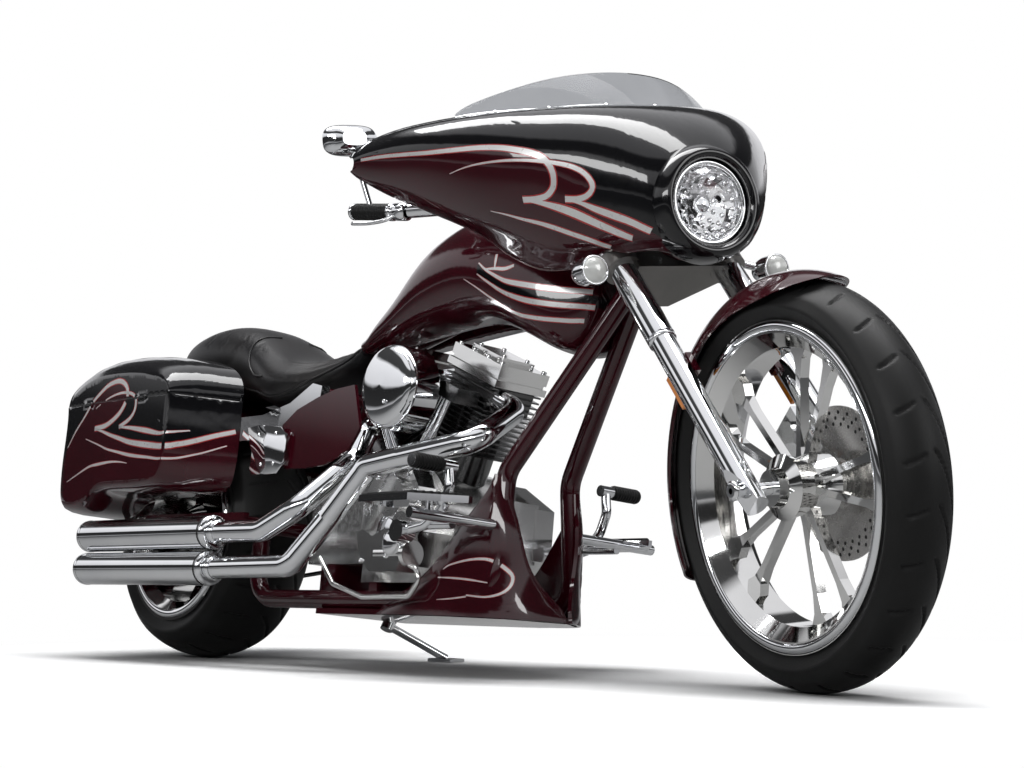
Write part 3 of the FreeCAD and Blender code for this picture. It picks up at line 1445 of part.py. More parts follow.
keep(tyre("front_tyre", S.front_tyre_radius, S.front_tyre_crown, S.front_tyre_width,
          S.front_bead_radius, S.front_lip_radius, S.front_rim_width), True, FRONT_AXLE)
keep(front_wheel(), True, FRONT_AXLE)
keep(disc_and_carrier(), True, FRONT_AXLE)
keep(fork_legs(), True)
keep(triple_trees(), True)
keep(handlebar(), True)
keep(fairing(), True)
keep(windshield(), True)
keep(headlamp(), True)
keep(turn_signals(), True)
keep(front_axle(), True)
keep(front_fender(), True)
keep(front_caliper(), True)
keep(reflectors(), True)

doc.recompute()

# The lean, the turned bars and the origin below the middle of the whole bike


def place_all(origin):
    stand = Placement(-origin, LEAN)
    for piece, steers, home in PIECES:
        place = stand.multiply(STEER) if steers else stand
        piece.Placement = place.multiply(home)


def whole_box():
    box = FreeCAD.BoundBox()
    for piece, steers, home in PIECES:
        box.add(piece.Shape.optimalBoundingBox(False, False))
    return box


def check_all():
    faults = []
    for item in doc.Objects:
        if "Invalid" in item.State or "Error" in item.State:
            faults.append(f"{item.Name}: {item.State}")
    for piece, steers, home in PIECES:
        if piece.Shape.isNull() or not piece.Shape.isValid() or not piece.Shape.Solids:
            faults.append(f"{piece.Label}: bad shape")
    if faults:
        raise RuntimeError("; ".join(faults))


place_all(Vector())
doc.recompute()
check_all()
box = whole_box()
ORIGIN = Vector((box.XMin + box.XMax) / 2, (box.YMin + box.YMax) / 2, box.ZMin)
place_all(ORIGIN)
doc.recompute()
check_all()
box = whole_box()

os.makedirs("parts", exist_ok=True)
for piece, steers, home in PIECES:
    piece.Shape.exportStep(f"parts/{piece.Label}.step")

print("pieces", len(PIECES))
print("origin", [round(v, 4) for v in ORIGIN])
print("box", [round(v, 2) for v in (box.XMin, box.YMin, box.ZMin, box.XMax, box.YMax, box.ZMax)])


def tell(name, point, direction, steers=False):
    """Prints where a joint or a mount lies on the leaned bike, in millimetres."""
    place = Placement(-ORIGIN, LEAN)
    if steers:
        place = place.multiply(STEER)
    spot = place.multVec(point)
    way = place.Rotation.multVec(direction)
    print("at", name, *[round(v, 4) for v in (*spot, *way)])


tell("steering", STEER_GROUND + RAKE * NECK_SPAN[0], RAKE)
tell("front_wheel", FRONT_AXLE, SIDE, True)
tell("rear_wheel", REAR_AXLE, SIDE)
tell("side_stand", STAND_PIVOT, STAND_HINGE)
print("turn side_stand", round(math.degrees(STAND_DOWN.getAngle(STAND_FOLDED)), 3))
for side_name, side_sign in (("right", -1), ("left", 1)):
    tell(f"lid_{side_name}", Vector(0, float(S.bag_outer) * side_sign, LID_SEAM),
         AHEAD * -side_sign)
    tell(f"axle_bore_{side_name}", FRONT_AXLE + SIDE * (front_axle_half() * side_sign),
         SIDE * side_sign, True)
    tell(f"floorboard_{side_name}", Vector(1240, 305 * side_sign, BOARD_TOP[side_sign]), UP)
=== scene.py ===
# %% [markdown]
# # A long custom motorcycle, dressed
#
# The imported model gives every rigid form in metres: wheels, frame, engine, fairing and saddlebags.
# This lesson adds what makes it look real: paint with pinstripes, chrome, leather, tread and small parts.
# Every piece rides on the body that carries it, so the bars still steer and the lids still open.

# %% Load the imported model
import json
import math
import bmesh
import bpy
import numpy as np
from mathutils import Matrix, Quaternion, Vector
from mathutils.bvhtree import BVHTree


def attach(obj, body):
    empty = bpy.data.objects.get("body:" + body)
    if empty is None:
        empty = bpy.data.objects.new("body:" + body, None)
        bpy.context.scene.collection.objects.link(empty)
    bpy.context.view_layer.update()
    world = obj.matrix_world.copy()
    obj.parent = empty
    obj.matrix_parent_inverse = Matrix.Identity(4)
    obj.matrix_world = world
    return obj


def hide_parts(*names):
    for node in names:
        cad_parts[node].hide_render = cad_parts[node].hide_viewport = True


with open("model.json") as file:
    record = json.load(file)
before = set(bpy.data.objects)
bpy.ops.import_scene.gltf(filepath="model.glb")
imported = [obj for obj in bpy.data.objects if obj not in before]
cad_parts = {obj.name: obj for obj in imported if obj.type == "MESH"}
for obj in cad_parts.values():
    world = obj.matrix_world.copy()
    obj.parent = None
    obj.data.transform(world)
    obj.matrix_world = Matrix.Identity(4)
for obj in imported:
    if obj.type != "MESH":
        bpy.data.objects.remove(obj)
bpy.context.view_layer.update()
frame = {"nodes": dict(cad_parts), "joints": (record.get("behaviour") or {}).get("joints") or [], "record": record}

bpy.context.scene.view_settings.view_transform = "Standard"
NODES = frame["nodes"]

# %% [markdown]
# The bike leans on its side stand and its bars are turned, so nothing on it is square to the floor.
# Places could be typed in the leaned frame, but nobody thinks that way.
# Instead every place below is measured on the bike as if it stood upright with straight bars,
# in millimetres. Two matrices then carry it to where it really is: `STAND` for what the frame carries
# and `FORK_PLACE` for what turns with the bars.

# %% Places on the bike
LEAN_ANGLE = math.radians(-6.3)
STEER_ANGLE = math.radians(-17.8)
RAKE = math.radians(36.6)
STEER_AXIS = Vector((-math.sin(RAKE), 0, math.cos(RAKE)))
STEER_FOOT = Vector((2246, 0, 0))
REAR_AXLE = Vector((0, 0, 333.142))
FRONT_AXLE = Vector((2101, 0, 384.0))
JOINT_PLACE = {j["name"]: Vector(j["pos_m"]) for j in frame["joints"]}
LEAN = Matrix.Rotation(LEAN_ANGLE, 4, "X")
SHIFT = JOINT_PLACE["rear_wheel_spin"] * 1000 - LEAN @ REAR_AXLE
STAND = Matrix.Scale(0.001, 4) @ Matrix.Translation(SHIFT) @ LEAN
STEER = (Matrix.Translation(STEER_FOOT) @ Matrix.Rotation(STEER_ANGLE, 4, STEER_AXIS)
         @ Matrix.Translation(-STEER_FOOT))
FORK_PLACE = STAND @ STEER
print("rear axle", STAND @ REAR_AXLE, "front axle", FORK_PLACE @ FRONT_AXLE)

# %% [markdown]
# The photograph was taken from the bike's right side, a little ahead and low, with a lens of about
# 67 mm. The camera could be guessed by eye, but both wheels are circles whose sizes can be guessed well,
# so its place was solved from them. It is kept relative to the rear axle, so it doesn't move if the
# model's box changes.

# %% Camera
def link(thing):
    bpy.context.scene.collection.objects.link(thing)
    return thing


camera = link(bpy.data.objects.new("camera", bpy.data.cameras.new("camera")))
bpy.context.scene.camera = camera
camera.data.lens = 67.1
camera.data.sensor_width = 36
camera.data.shift_x = -0.001
camera.data.shift_y = 0.061
camera.location = JOINT_PLACE["rear_wheel_spin"] + Vector((4.4360, -2.734257, -0.101830))
turn, rise, roll = math.radians(40.5), math.radians(3.7), math.radians(-0.2)
look = Vector((-math.cos(turn) * math.cos(rise), math.sin(turn) * math.cos(rise), math.sin(rise)))
camera.rotation_mode = "QUATERNION"
camera.rotation_quaternion = look.to_track_quat("-Z", "Y") @ Quaternion((0, 0, 1), roll)
print("camera", camera.location, camera.data.lens)

# %% [markdown]
# A studio floor is a large pale sheet. A real sheet lit at this plain level would look grey, and more
# light would bleach the bike. So for camera rays alone the paint is two matt layers added up, which makes
# lit floor white. Painted shade: an occlusion mask darkens the second layer near the bike, deepening the
# real shadow under it, and away from the bike the sheet turns to plain white, so no horizon shows.
# The world is white to the camera too. Chrome has no colour of its own, so what it mirrors is its looks:
# for mirror rays the world is bands of pale and dark, as the walls of a studio are.

# %% Floor, world and lamps
FLOOR_HALF = 40
SHADOW_REACH = 0.55
WHITE_FROM, WHITE_TO = 1.35, 2.3


def node(tree, kind, sockets=None, **values):
    made = tree.nodes.new("ShaderNode" + kind)
    for key, value in values.items():
        setattr(made, key, value)
    for key, value in (sockets or {}).items():
        made.inputs[key].default_value = value
    return made


def mix_shaders(tree, mask, low, high):
    made = node(tree, "MixShader")
    for source, socket in zip((mask, low, high), made.inputs):
        tree.links.new(source, socket)
    return made.outputs[0]


def stage_floor():
    corners = [(x * FLOOR_HALF, y * FLOOR_HALF, 0) for x, y in ((-1, -1), (1, -1), (1, 1), (-1, 1))]
    mesh = bpy.data.meshes.new("studio_floor")
    mesh.from_pydata(corners, [], [(0, 1, 2, 3)])
    floor = link(bpy.data.objects.new("studio_floor", mesh))
    sheet = bpy.data.materials.new("studio_floor")
    sheet.use_nodes = True
    tree = sheet.node_tree
    matt = node(tree, "BsdfDiffuse", {"Color": (0.35, 0.35, 0.35, 1)})
    # Painted shade: occlusion darkens the floor's second layer close to the bike.
    near = node(tree, "AmbientOcclusion", {"Distance": SHADOW_REACH}, samples=8)
    painted_shade = node(tree, "Gamma", {"Gamma": 1.6})
    bright = node(tree, "BsdfDiffuse")
    paler = node(tree, "AddShader")
    path = node(tree, "LightPath")
    place = node(tree, "TexCoord")
    flat = node(tree, "VectorMath", operation="LENGTH")
    far = node(tree, "MapRange", {"From Min": WHITE_FROM, "From Max": WHITE_TO},
               interpolation_type="SMOOTHSTEP")
    seen = node(tree, "Math", operation="MULTIPLY")
    white = node(tree, "Emission")
    for source, socket in ((near.outputs["Color"], painted_shade.inputs["Color"]),
                           (painted_shade.outputs["Color"], bright.inputs["Color"]),
                           (matt.outputs[0], paler.inputs[0]), (bright.outputs[0], paler.inputs[1]),
                           (place.outputs["Object"], flat.inputs[0]),
                           (flat.outputs["Value"], far.inputs["Value"]),
                           (far.outputs["Result"], seen.inputs[0]),
                           (path.outputs["Is Camera Ray"], seen.inputs[1])):
        tree.links.new(source, socket)
    paint = mix_shaders(tree, path.outputs["Is Camera Ray"], matt.outputs[0], paler.outputs[0])
    faded = mix_shaders(tree, seen.outputs[0], paint, white.outputs[0])
    tree.links.new(faded, tree.nodes["Material Output"].inputs["Surface"])
    mesh.materials.append(sheet)


def studio_world():
    world = bpy.data.worlds.new("studio")
    bpy.context.scene.world = world
    world.use_nodes = True
    sky = world.node_tree
    sky.nodes.clear()
    path = node(sky, "LightPath")
    seen = node(sky, "Math", operation="MAXIMUM")
    sky.links.new(path.outputs["Is Camera Ray"], seen.inputs[0])
    sky.links.new(path.outputs["Is Transmission Ray"], seen.inputs[1])
    way = node(sky, "TexCoord")
    split = node(sky, "SeparateXYZ")
    sky.links.new(way.outputs["Generated"], split.inputs[0])
    walls = node(sky, "ValToRGB")
    sky.links.new(split.outputs["Z"], walls.inputs["Fac"])
    bands = [(0.0, 0.45), (0.04, 0.03), (0.19, 0.02), (0.22, 0.75), (0.40, 0.95), (0.44, 0.05),
             (0.66, 0.06), (0.72, 0.85), (1.0, 0.95)]
    while len(walls.color_ramp.elements) < len(bands):
        walls.color_ramp.elements.new(0.5)
    for element, (height, value) in zip(walls.color_ramp.elements, bands):
        element.position = height
        element.color = (value, value, value * 1.03, 1)
    plain = node(sky, "Background", {"Strength": 0.22, "Color": (0.80, 0.82, 0.86, 1)})
    banded = node(sky, "Background", {"Strength": 1.0})
    white = node(sky, "Background", {"Strength": 1.0, "Color": (1, 1, 1, 1)})
    sky.links.new(walls.outputs["Color"], banded.inputs["Color"])
    mirrored = mix_shaders(sky, path.outputs["Is Glossy Ray"], plain.outputs[0], banded.outputs[0])
    both = mix_shaders(sky, seen.outputs[0], mirrored, white.outputs[0])
    sky.links.new(both, node(sky, "OutputWorld").inputs["Surface"])


def lamp(name, place, aim, size, power):
    light = bpy.data.lights.new(name, "AREA")
    light.shape = "RECTANGLE"
    light.size, light.size_y = size
    light.energy = power
    holder = link(bpy.data.objects.new(name, light))
    holder.location = place
    holder.rotation_euler = (Vector(aim) - Vector(place)).to_track_quat("-Z", "Y").to_euler()


stage_floor()
studio_world()
lamp("top_softbox", (0.2, -0.3, 4.0), (0.1, 0, 0), (5.2, 1.3), 190)
lamp("side_softbox", (1.6, -4.2, 2.2), (0.2, 0, 0.6), (4.6, 0.5), 70)
lamp("front_softbox", (5.2, 1.2, 2.2), (0.6, 0, 0.6), (2.0, 2.2), 40)
print("floor, world and lamps set")

# %% [markdown]
# A finish is a small tree of shader nodes, and what every finish shares lives in a node group.
# `surface_wear` gives a slow blotchy mask and a fine scratch mask, both in the object's own space.
# They break up roughness and colour so nothing looks like plain plastic.

# %% Shared node group
BLOTCH_SCALE = 6.0


def surface_wear_group():
    group = bpy.data.node_groups.new("surface_wear", "ShaderNodeTree")
    scale = group.interface.new_socket("Scratch scale", in_out="INPUT", socket_type="NodeSocketFloat")
    scale.default_value = 90.0
    for label in ("Blotch", "Scratch"):
        group.interface.new_socket(label, in_out="OUTPUT", socket_type="NodeSocketFloat")
    given = group.nodes.new("NodeGroupInput")
    put = group.nodes.new("NodeGroupOutput")
    place = node(group, "TexCoord")
    slow = node(group, "TexNoise", {"Scale": BLOTCH_SCALE, "Detail": 4})
    fine = node(group, "TexNoise", {"Detail": 8, "Roughness": 0.7})
    group.links.new(given.outputs["Scratch scale"], fine.inputs["Scale"])
    for made, label in ((slow, "Blotch"), (fine, "Scratch")):
        group.links.new(place.outputs["Object"], made.inputs["Vector"])
        group.links.new(made.outputs["Fac"], put.inputs[label])
    return group


WEAR = surface_wear_group()


def ramp(tree, source, low, high, start, stop):
    made = node(tree, "MapRange", {"From Min": start, "From Max": stop, "To Min": low, "To Max": high})
    tree.links.new(source, made.inputs["Value"])
    return made.outputs["Result"]


def mix_colour(tree, mask, first, second):
    made = node(tree, "Mix", data_type="RGBA")
    tree.links.new(mask, made.inputs["Factor"])
    for value, socket in ((first, made.inputs[6]), (second, made.inputs[7])):
        if isinstance(value, bpy.types.NodeSocket):
            tree.links.new(value, socket)
        else:
            socket.default_value = (*value, 1)
    return made.outputs[2]


GRAIN_DEPTH = 0.0002


def finish(name, colour, second, rough, metallic=0.0, coat=0.0, scratch=90.0, grain=0.0, **sockets):
    """A finish whose colour and roughness drift between two values."""
    made = bpy.data.materials.new(name)
    made.use_nodes = True
    tree = made.node_tree
    shader = tree.nodes["Principled BSDF"]
    wear = node(tree, "Group", {"Scratch scale": scratch}, node_tree=WEAR)
    mask = ramp(tree, wear.outputs["Blotch"], 0, 1, 0.35, 0.65)
    tree.links.new(mix_colour(tree, mask, colour, second), shader.inputs["Base Color"])
    fine = ramp(tree, wear.outputs["Scratch"], rough[0], rough[1], 0.3, 0.7)
    tree.links.new(fine, shader.inputs["Roughness"])
    sockets = {"Metallic": metallic, "Coat Weight": coat, "Coat Roughness": 0.03, **sockets}
    for key, value in sockets.items():
        shader.inputs[key.replace("_", " ")].default_value = value
    if grain:
        bump = node(tree, "Bump", {"Strength": grain, "Distance": GRAIN_DEPTH})
        tree.links.new(wear.outputs["Scratch"], bump.inputs["Height"])
        tree.links.new(bump.outputs["Normal"], shader.inputs["Normal"])
    return made


# %% [markdown]
# The real bike has few finishes, each used in many places: wine paint, black paint, show chrome,
# polished alloy, black leather, rubber and lenses. Each is made once and given to every node that
# has it. The large flat engine covers get a softer chrome, because a perfect mirror looks like a hole
# wherever it faces a dark band.

# %% Finishes
WINE_LOOK = ((0.034, 0.0022, 0.0055), (0.043, 0.0028, 0.007), (0.14, 0.2), 0.0, 1.0)
WINE = finish("wine_paint", *WINE_LOOK, Specular_IOR_Level=0.1)
BLACK = finish("black_paint", (0.003, 0.003, 0.004), (0.006, 0.006, 0.007), (0.16, 0.22), 0.0, 1.0,
               Specular_IOR_Level=0.1)
CHROME = finish("show_chrome", (0.80, 0.81, 0.83), (0.86, 0.87, 0.88), (0.03, 0.07), 1.0)
BILLET = finish("polished_billet", (0.74, 0.74, 0.73), (0.82, 0.82, 0.81), (0.04, 0.09), 1.0)
ALLOY = finish("satin_alloy", (0.62, 0.62, 0.61), (0.70, 0.70, 0.69), (0.14, 0.26), 1.0, grain=0.1)
BRUSHED = finish("brushed_grey", (0.20, 0.195, 0.185), (0.26, 0.25, 0.24), (0.3, 0.42), 1.0)
STEEL = finish("disc_steel", (0.48, 0.47, 0.46), (0.55, 0.54, 0.52), (0.2, 0.3), 1.0)
LEATHER = finish("black_leather", (0.007, 0.007, 0.008), (0.012, 0.011, 0.011), (0.34, 0.46),
                 grain=0.4, scratch=500.0, Specular_IOR_Level=0.35)
RUBBER = finish("tyre_rubber", (0.006, 0.006, 0.006), (0.011, 0.011, 0.011), (0.42, 0.58),
                grain=0.2, scratch=400.0, Specular_IOR_Level=0.25)
FIN = finish("polished_fins", (0.10, 0.10, 0.10), (0.20, 0.20, 0.20), (0.16, 0.26), 1.0)
SOFT_CHROME = finish("soft_chrome", (0.86, 0.86, 0.85), (0.88, 0.88, 0.87), (0.15, 0.17), 1.0)
MIRROR = finish("reflector", (0.86, 0.87, 0.88), (0.90, 0.90, 0.91), (0.02, 0.05), 1.0)
# Painted shade: a near-black for the dark inside of the disc's drilled holes.
HOLE_SHADE = finish("painted_hole_shade", (0.004, 0.004, 0.004), (0.006, 0.006, 0.006), (0.7, 0.9))
CLEAR = finish("frosted_lens", (0.72, 0.73, 0.71), (0.80, 0.81, 0.78), (0.12, 0.2), 0.1, 1.0)
AMBER = finish("amber_lens", (0.75, 0.22, 0.02), (0.80, 0.26, 0.03), (0.1, 0.15), 0, 1.0)
RED = finish("red_lens", (0.35, 0.01, 0.01), (0.42, 0.012, 0.012), (0.1, 0.15), 0, 1.0)
GLASS = finish("lamp_glass", (0.95, 0.96, 0.97), (0.97, 0.97, 0.98), (0.02, 0.04), 0,
               Transmission_Weight=1.0)
SHIELD = finish("smoked_shield", (0.36, 0.37, 0.39), (0.40, 0.41, 0.43), (0.02, 0.05), 0,
                Transmission_Weight=1.0, IOR=1.1)

FINISH_OF = {
    "maroon_paint": WINE, "black_paint": BLACK, "black_leather": LEATHER, "satin_alloy": ALLOY,
    "black_engine": FIN, "bright_chrome": CHROME, "brushed_grey": BRUSHED,
    "black_rubber": RUBBER, "tyre_rubber": RUBBER, "polished_billet": BILLET,
    "disc_steel": STEEL, "lamp_glass": GLASS, "smoked_shield": SHIELD, "red_lens": RED,
    "amber_lens": AMBER}


def give(name, material):
    mesh = NODES[name].data
    mesh.materials.clear()
    mesh.materials.append(material)


for part in frame["record"]["subparts"]:
    give(part["node"], FINISH_OF[part["material_slot"]])
for case in ("cam_cover", "rocker_boxes", "primary_cover"):
    give(case, SOFT_CHROME)
print(len(NODES), "nodes have a finish")

# %% [markdown]
# Small forms are made in two ways: a profile turned round an axis, and a round bar along a path.
# Each helper gives points in the bike's own millimetres, and one function turns them into a piece.

# %% Helpers that make pieces
def make_piece(name, points, faces, body, material, place, smooth=True):
    mesh = bpy.data.meshes.new(name)
    mesh.from_pydata([place @ Vector(p) for p in points], [], faces)
    mesh.materials.append(material)
    mesh.polygons.foreach_set("use_smooth", [smooth] * len(mesh.polygons))
    piece = link(bpy.data.objects.new(name, mesh))
    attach(piece, body)
    return piece


class Bundle:
    """Small forms of one finish on one part, kept together as one piece."""

    def __init__(self):
        self.points = []
        self.faces = []

    def add(self, form):
        points, faces = form
        start = len(self.points)
        self.points += [Vector(p) for p in points]
        self.faces += [[i + start for i in face] for face in faces]

    def piece(self, name, body, material, place=STAND):
        make_piece(name, self.points, self.faces, body, material, place)


def circle(centre, first, second, radius, steps):
    turns = [2 * math.pi * step / steps for step in range(steps)]
    return [centre + (first * math.cos(t) + second * math.sin(t)) * radius for t in turns]


def tube_faces(rows, steps):
    return [[row * steps + step, row * steps + (step + 1) % steps,
             (row + 1) * steps + (step + 1) % steps, (row + 1) * steps + step]
            for row in range(rows - 1) for step in range(steps)]


def turned(profile, centre, axis, steps):
    """A form turned round an axis; the profile is radius and height along it."""
    axis = Vector(axis).normalized()
    first = axis.orthogonal().normalized()
    points = []
    for radius, height in profile:
        points += circle(Vector(centre) + axis * height, first, axis.cross(first), radius, steps)
    return points, tube_faces(len(profile), steps)


def bar(points, radius, sides):
    """A round bar along a path."""
    points = [Vector(p) for p in points]
    count = len(points)
    made = []
    side = None
    for i, point in enumerate(points):
        along = (points[min(i + 1, count - 1)] - points[max(i - 1, 0)]).normalized()
        if side is None:
            side = along.orthogonal().normalized()
        side = (side - along * side.dot(along)).normalized()
        made += circle(point, side, along.cross(side), radius, sides)
    ends = [list(range(sides))[::-1], list(range((count - 1) * sides, count * sides))]
    return made, tube_faces(count, sides) + ends


def smooth_path(points, step):
    """Points at even steps along a smooth line through the given ones."""
    points = [Vector(p) for p in points]
    ends = [points[0] * 2 - points[1]] + points + [points[-1] * 2 - points[-2]]
    path = []
    for a, b, c, d in zip(ends, ends[1:], ends[2:], ends[3:]):
        count = max(2, int((c - b).length / step))
        for i in range(count):
            t = i / count
            path.append(0.5 * (2 * b + (c - a) * t + (2 * a - 5 * b + 4 * c - d) * t * t
                               + (3 * b - a - 3 * c + d) * t ** 3))
    return path + [points[-1]]


TIP = 0.05


def screw(centre, axis, radius, height):
    """A socket screw's head, with its recess."""
    return turned([(TIP, height * 0.35), (radius * 0.5, height * 0.35), (radius * 0.55, height),
                   (radius * 0.88, height), (radius, height * 0.8), (radius, 0)],
                  centre, axis, 14)


def dome(centre, axis, radius, height):
    return turned([(radius, 0), (radius * 0.96, height * 0.35), (radius * 0.75, height * 0.72),
                   (radius * 0.4, height * 0.94), (TIP, height)], centre, axis, 16)


def apply_modifiers(piece):
    graph = bpy.context.evaluated_depsgraph_get()
    piece.data = bpy.data.meshes.new_from_object(piece.evaluated_get(graph))
    piece.modifiers.clear()


print("helpers ready")

# %% [markdown]
# Paint edges and pinstripes belong on the surface, not beside it. Their lines were measured in the
# side view. Each line is dropped sideways onto the solid with a search tree, so it follows every curve
# of the shell.

# %% Helpers that lay paint on a surface
def surface_of(*names, place=STAND):
    """A search tree of some nodes, in the bike's own millimetres."""
    inverse = place.inverted()
    points = []
    faces = []
    for name in names:
        mesh = NODES[name].data
        start = len(points)
        matrix = inverse @ NODES[name].matrix_world
        points += [matrix @ v.co for v in mesh.vertices]
        faces += [[i + start for i in p.vertices] for p in mesh.polygons]
    return BVHTree.FromPolygons(points, faces)


OUTSIDE = 700
PAST_MIDDLE = 60
STRIPE_LIFT = 0.5
CORE_LIFT = 0.25
EDGE_SPREAD = 1.45
LARGEST_JUMP = 25
THINNEST = 0.3
EVERYWHERE = (0, 2000)


def drop(surface, x, z, side):
    """Where a line from the side meets the surface, with the surface's outward way there."""
    place, normal, _, _ = surface.ray_cast(Vector((x, side * OUTSIDE, z)), Vector((0, -side, 0)),
                                           OUTSIDE + PAST_MIDDLE)
    if place is None:
        return None
    if normal.y * side < 0:
        normal = -normal
    return place, normal


def stripe(surface, line, side, lift, scale, heights):
    """A ribbon along (x, z, width) marks, laid on the surface; it breaks where the surface does."""
    runs = [[]]
    for mark in smooth_path([(x, width, z) for x, z, width in line], 5.0):
        inside = heights[0] < mark.z < heights[1]
        hit = drop(surface, mark.x, mark.z, side) if inside else None
        if runs[-1] and (hit is None or (hit[0] - runs[-1][-1][0]).length > LARGEST_JUMP):
            runs.append([])
        if hit:
            runs[-1].append((*hit, max(mark.y * scale, THINNEST)))
    points = []
    faces = []
    for spots in runs:
        first = len(points)
        for i, (place, normal, width) in enumerate(spots if len(spots) > 1 else []):
            along = spots[min(i + 1, len(spots) - 1)][0] - spots[max(i - 1, 0)][0]
            across = normal.cross(along).normalized() * (width / 2)
            for shift in (-1, 0, 1):
                spot = place + across * shift
                near = drop(surface, spot.x, spot.z, side)
                if near and (near[0] - spot).length < 4:
                    spot = near[0]
                points.append(spot + normal * lift)
            if i:
                for shift in (0, 1):
                    a = first + (i - 1) * 3 + shift
                    faces.append([a, a + 1, a + 4, a + 3])
    return points, faces


SILVER = finish("stripe_silver", (0.62, 0.62, 0.62), (0.72, 0.72, 0.71), (0.25, 0.35), 0.25, 1.0)
STRIPE_RED = finish("stripe_red", (0.35, 0.012, 0.012), (0.42, 0.02, 0.02), (0.25, 0.35), 0.0, 1.0)


def pinstripes(name, surface, lines, body, place=STAND, sides=(-1, 1), heights=EVERYWHERE):
    """Silver stripes with thin red edges."""
    edge = Bundle()
    core = Bundle()
    for side in sides:
        for line in lines:
            edge.add(stripe(surface, line, side, STRIPE_LIFT, EDGE_SPREAD, heights))
            core.add(stripe(surface, line, side, STRIPE_LIFT + CORE_LIFT, 1.0, heights))
    edge.piece(name + "_red_edges", body, STRIPE_RED, place)
    core.piece(name + "_stripes", body, SILVER, place)


print("paint helpers ready")

# %% [markdown]
# A tyre's tread is what makes it a tyre. A picture could fake it, but grooves must take shadow.
# So each tyre is a fine skin: its section is read from the solid with rays, turned round the axle,
# and pressed in wherever a groove's line passes. One half has short slanted cuts, the other long
# sweeping ones.

# %% Tyres with cut tread
SECTION_RAYS = 240
SECTION_ARC = 256
RAY_LENGTH = 260
GROOVE_WIDTH = 4.2
GROOVE_DEPTH = 5.0
TREAD_FROM = 0.84
SKIN_STEP = 3.3


def section_of(node, place, radius, low):
    """Points of the tyre's outer section, found by rays towards the section's middle."""
    surface = surface_of(node, place=place)
    middle = Vector((0, 0, (radius + low) / 2))
    marks = []
    for number in range(SECTION_RAYS + 1):
        angle = math.radians(-SECTION_ARC / 2 + SECTION_ARC * number / SECTION_RAYS)
        way = Vector((0, math.sin(angle), math.cos(angle)))
        hit = surface.ray_cast(middle + way * RAY_LENGTH, -way, RAY_LENGTH + 2)[0]
        if hit is not None:
            marks.append((hit.y, hit.z))
    return marks


def even_marks(marks, count):
    across, up = np.array(marks).T
    lengths = np.concatenate([[0], np.cumsum(np.hypot(np.diff(across), np.diff(up)))])
    wanted = np.linspace(0, lengths[-1], count)
    return np.interp(wanted, lengths, across), np.interp(wanted, lengths, up)


def groove_depth(along, across, pitch, half):
    """How deep the tread is cut at a point: 1 in a groove, 0 on a block."""
    share = np.abs(across) / half
    near = across < 0
    centre = np.where(near, 46 * share - 22 * share ** 2, 150 * share ** 1.6)
    start = np.where(near, 0.20, 0.06)
    stop = np.where(near, 0.86, 0.97)
    off = np.abs((along - centre + pitch / 2) % pitch - pitch / 2)
    slope = np.where(near, 0.92, 0.62)
    inside = np.clip((share - start) / 0.1, 0, 1) * np.clip((stop - share) / 0.08, 0, 1)
    return np.clip((GROOVE_WIDTH * inside - off * slope) / 1.6, 0, 1) * (inside > 0)


def tyre_piece(node, place, body, radius, low, half, rows, pitches):
    y, r = even_marks(section_of(node, place, radius, low), rows)
    steps = int(2 * math.pi * radius / SKIN_STEP)
    angles = np.arange(steps) * (2 * math.pi / steps)
    pitch = 2 * math.pi * radius / pitches
    along = np.repeat(angles * radius, rows)
    across = np.tile(y, steps)
    top = np.tile(r, steps)
    cut = groove_depth(along, across, pitch, half) * (top > radius * TREAD_FROM) * GROOVE_DEPTH
    reach = top - cut
    turn = np.repeat(angles, rows)
    points = np.stack([reach * np.sin(turn), across, reach * np.cos(turn), np.ones(len(turn))])
    placed = (np.array(place) @ points)[:3].T
    index = np.arange(steps * rows).reshape(steps, rows)
    after = np.roll(index, -1, axis=0)
    quads = np.stack([index[:, :-1], index[:, 1:], after[:, 1:], after[:, :-1]], -1).reshape(-1, 4)
    piece = make_piece(node + "_tread", placed.tolist(), quads.tolist(), body, RUBBER,
                       Matrix.Identity(4))
    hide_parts(node)
    print(node, len(quads), "quads")


tyre_piece("front_tyre", FORK_PLACE @ Matrix.Translation(FRONT_AXLE), "front_wheel",
           383.5, 309, 57, 61, 26)
tyre_piece("rear_tyre", STAND @ Matrix.Translation(REAR_AXLE), "rear_wheel",
           332, 245, 105, 85, 22)

# %% [markdown]
# The seat is stuffed leather, so it is blown up as cloth: a copy of the solid is remeshed, shrunk a
# little, given pressure and left to settle. That gives the soft swell between its edges.
# Piping comes after it, because a remesh would swallow it.

# %% Seat
SKIN_VOXEL = 0.006
SHRINK = 0.005
LARGEST_SWELL = 0.009
CLOTH_FRAMES = 15


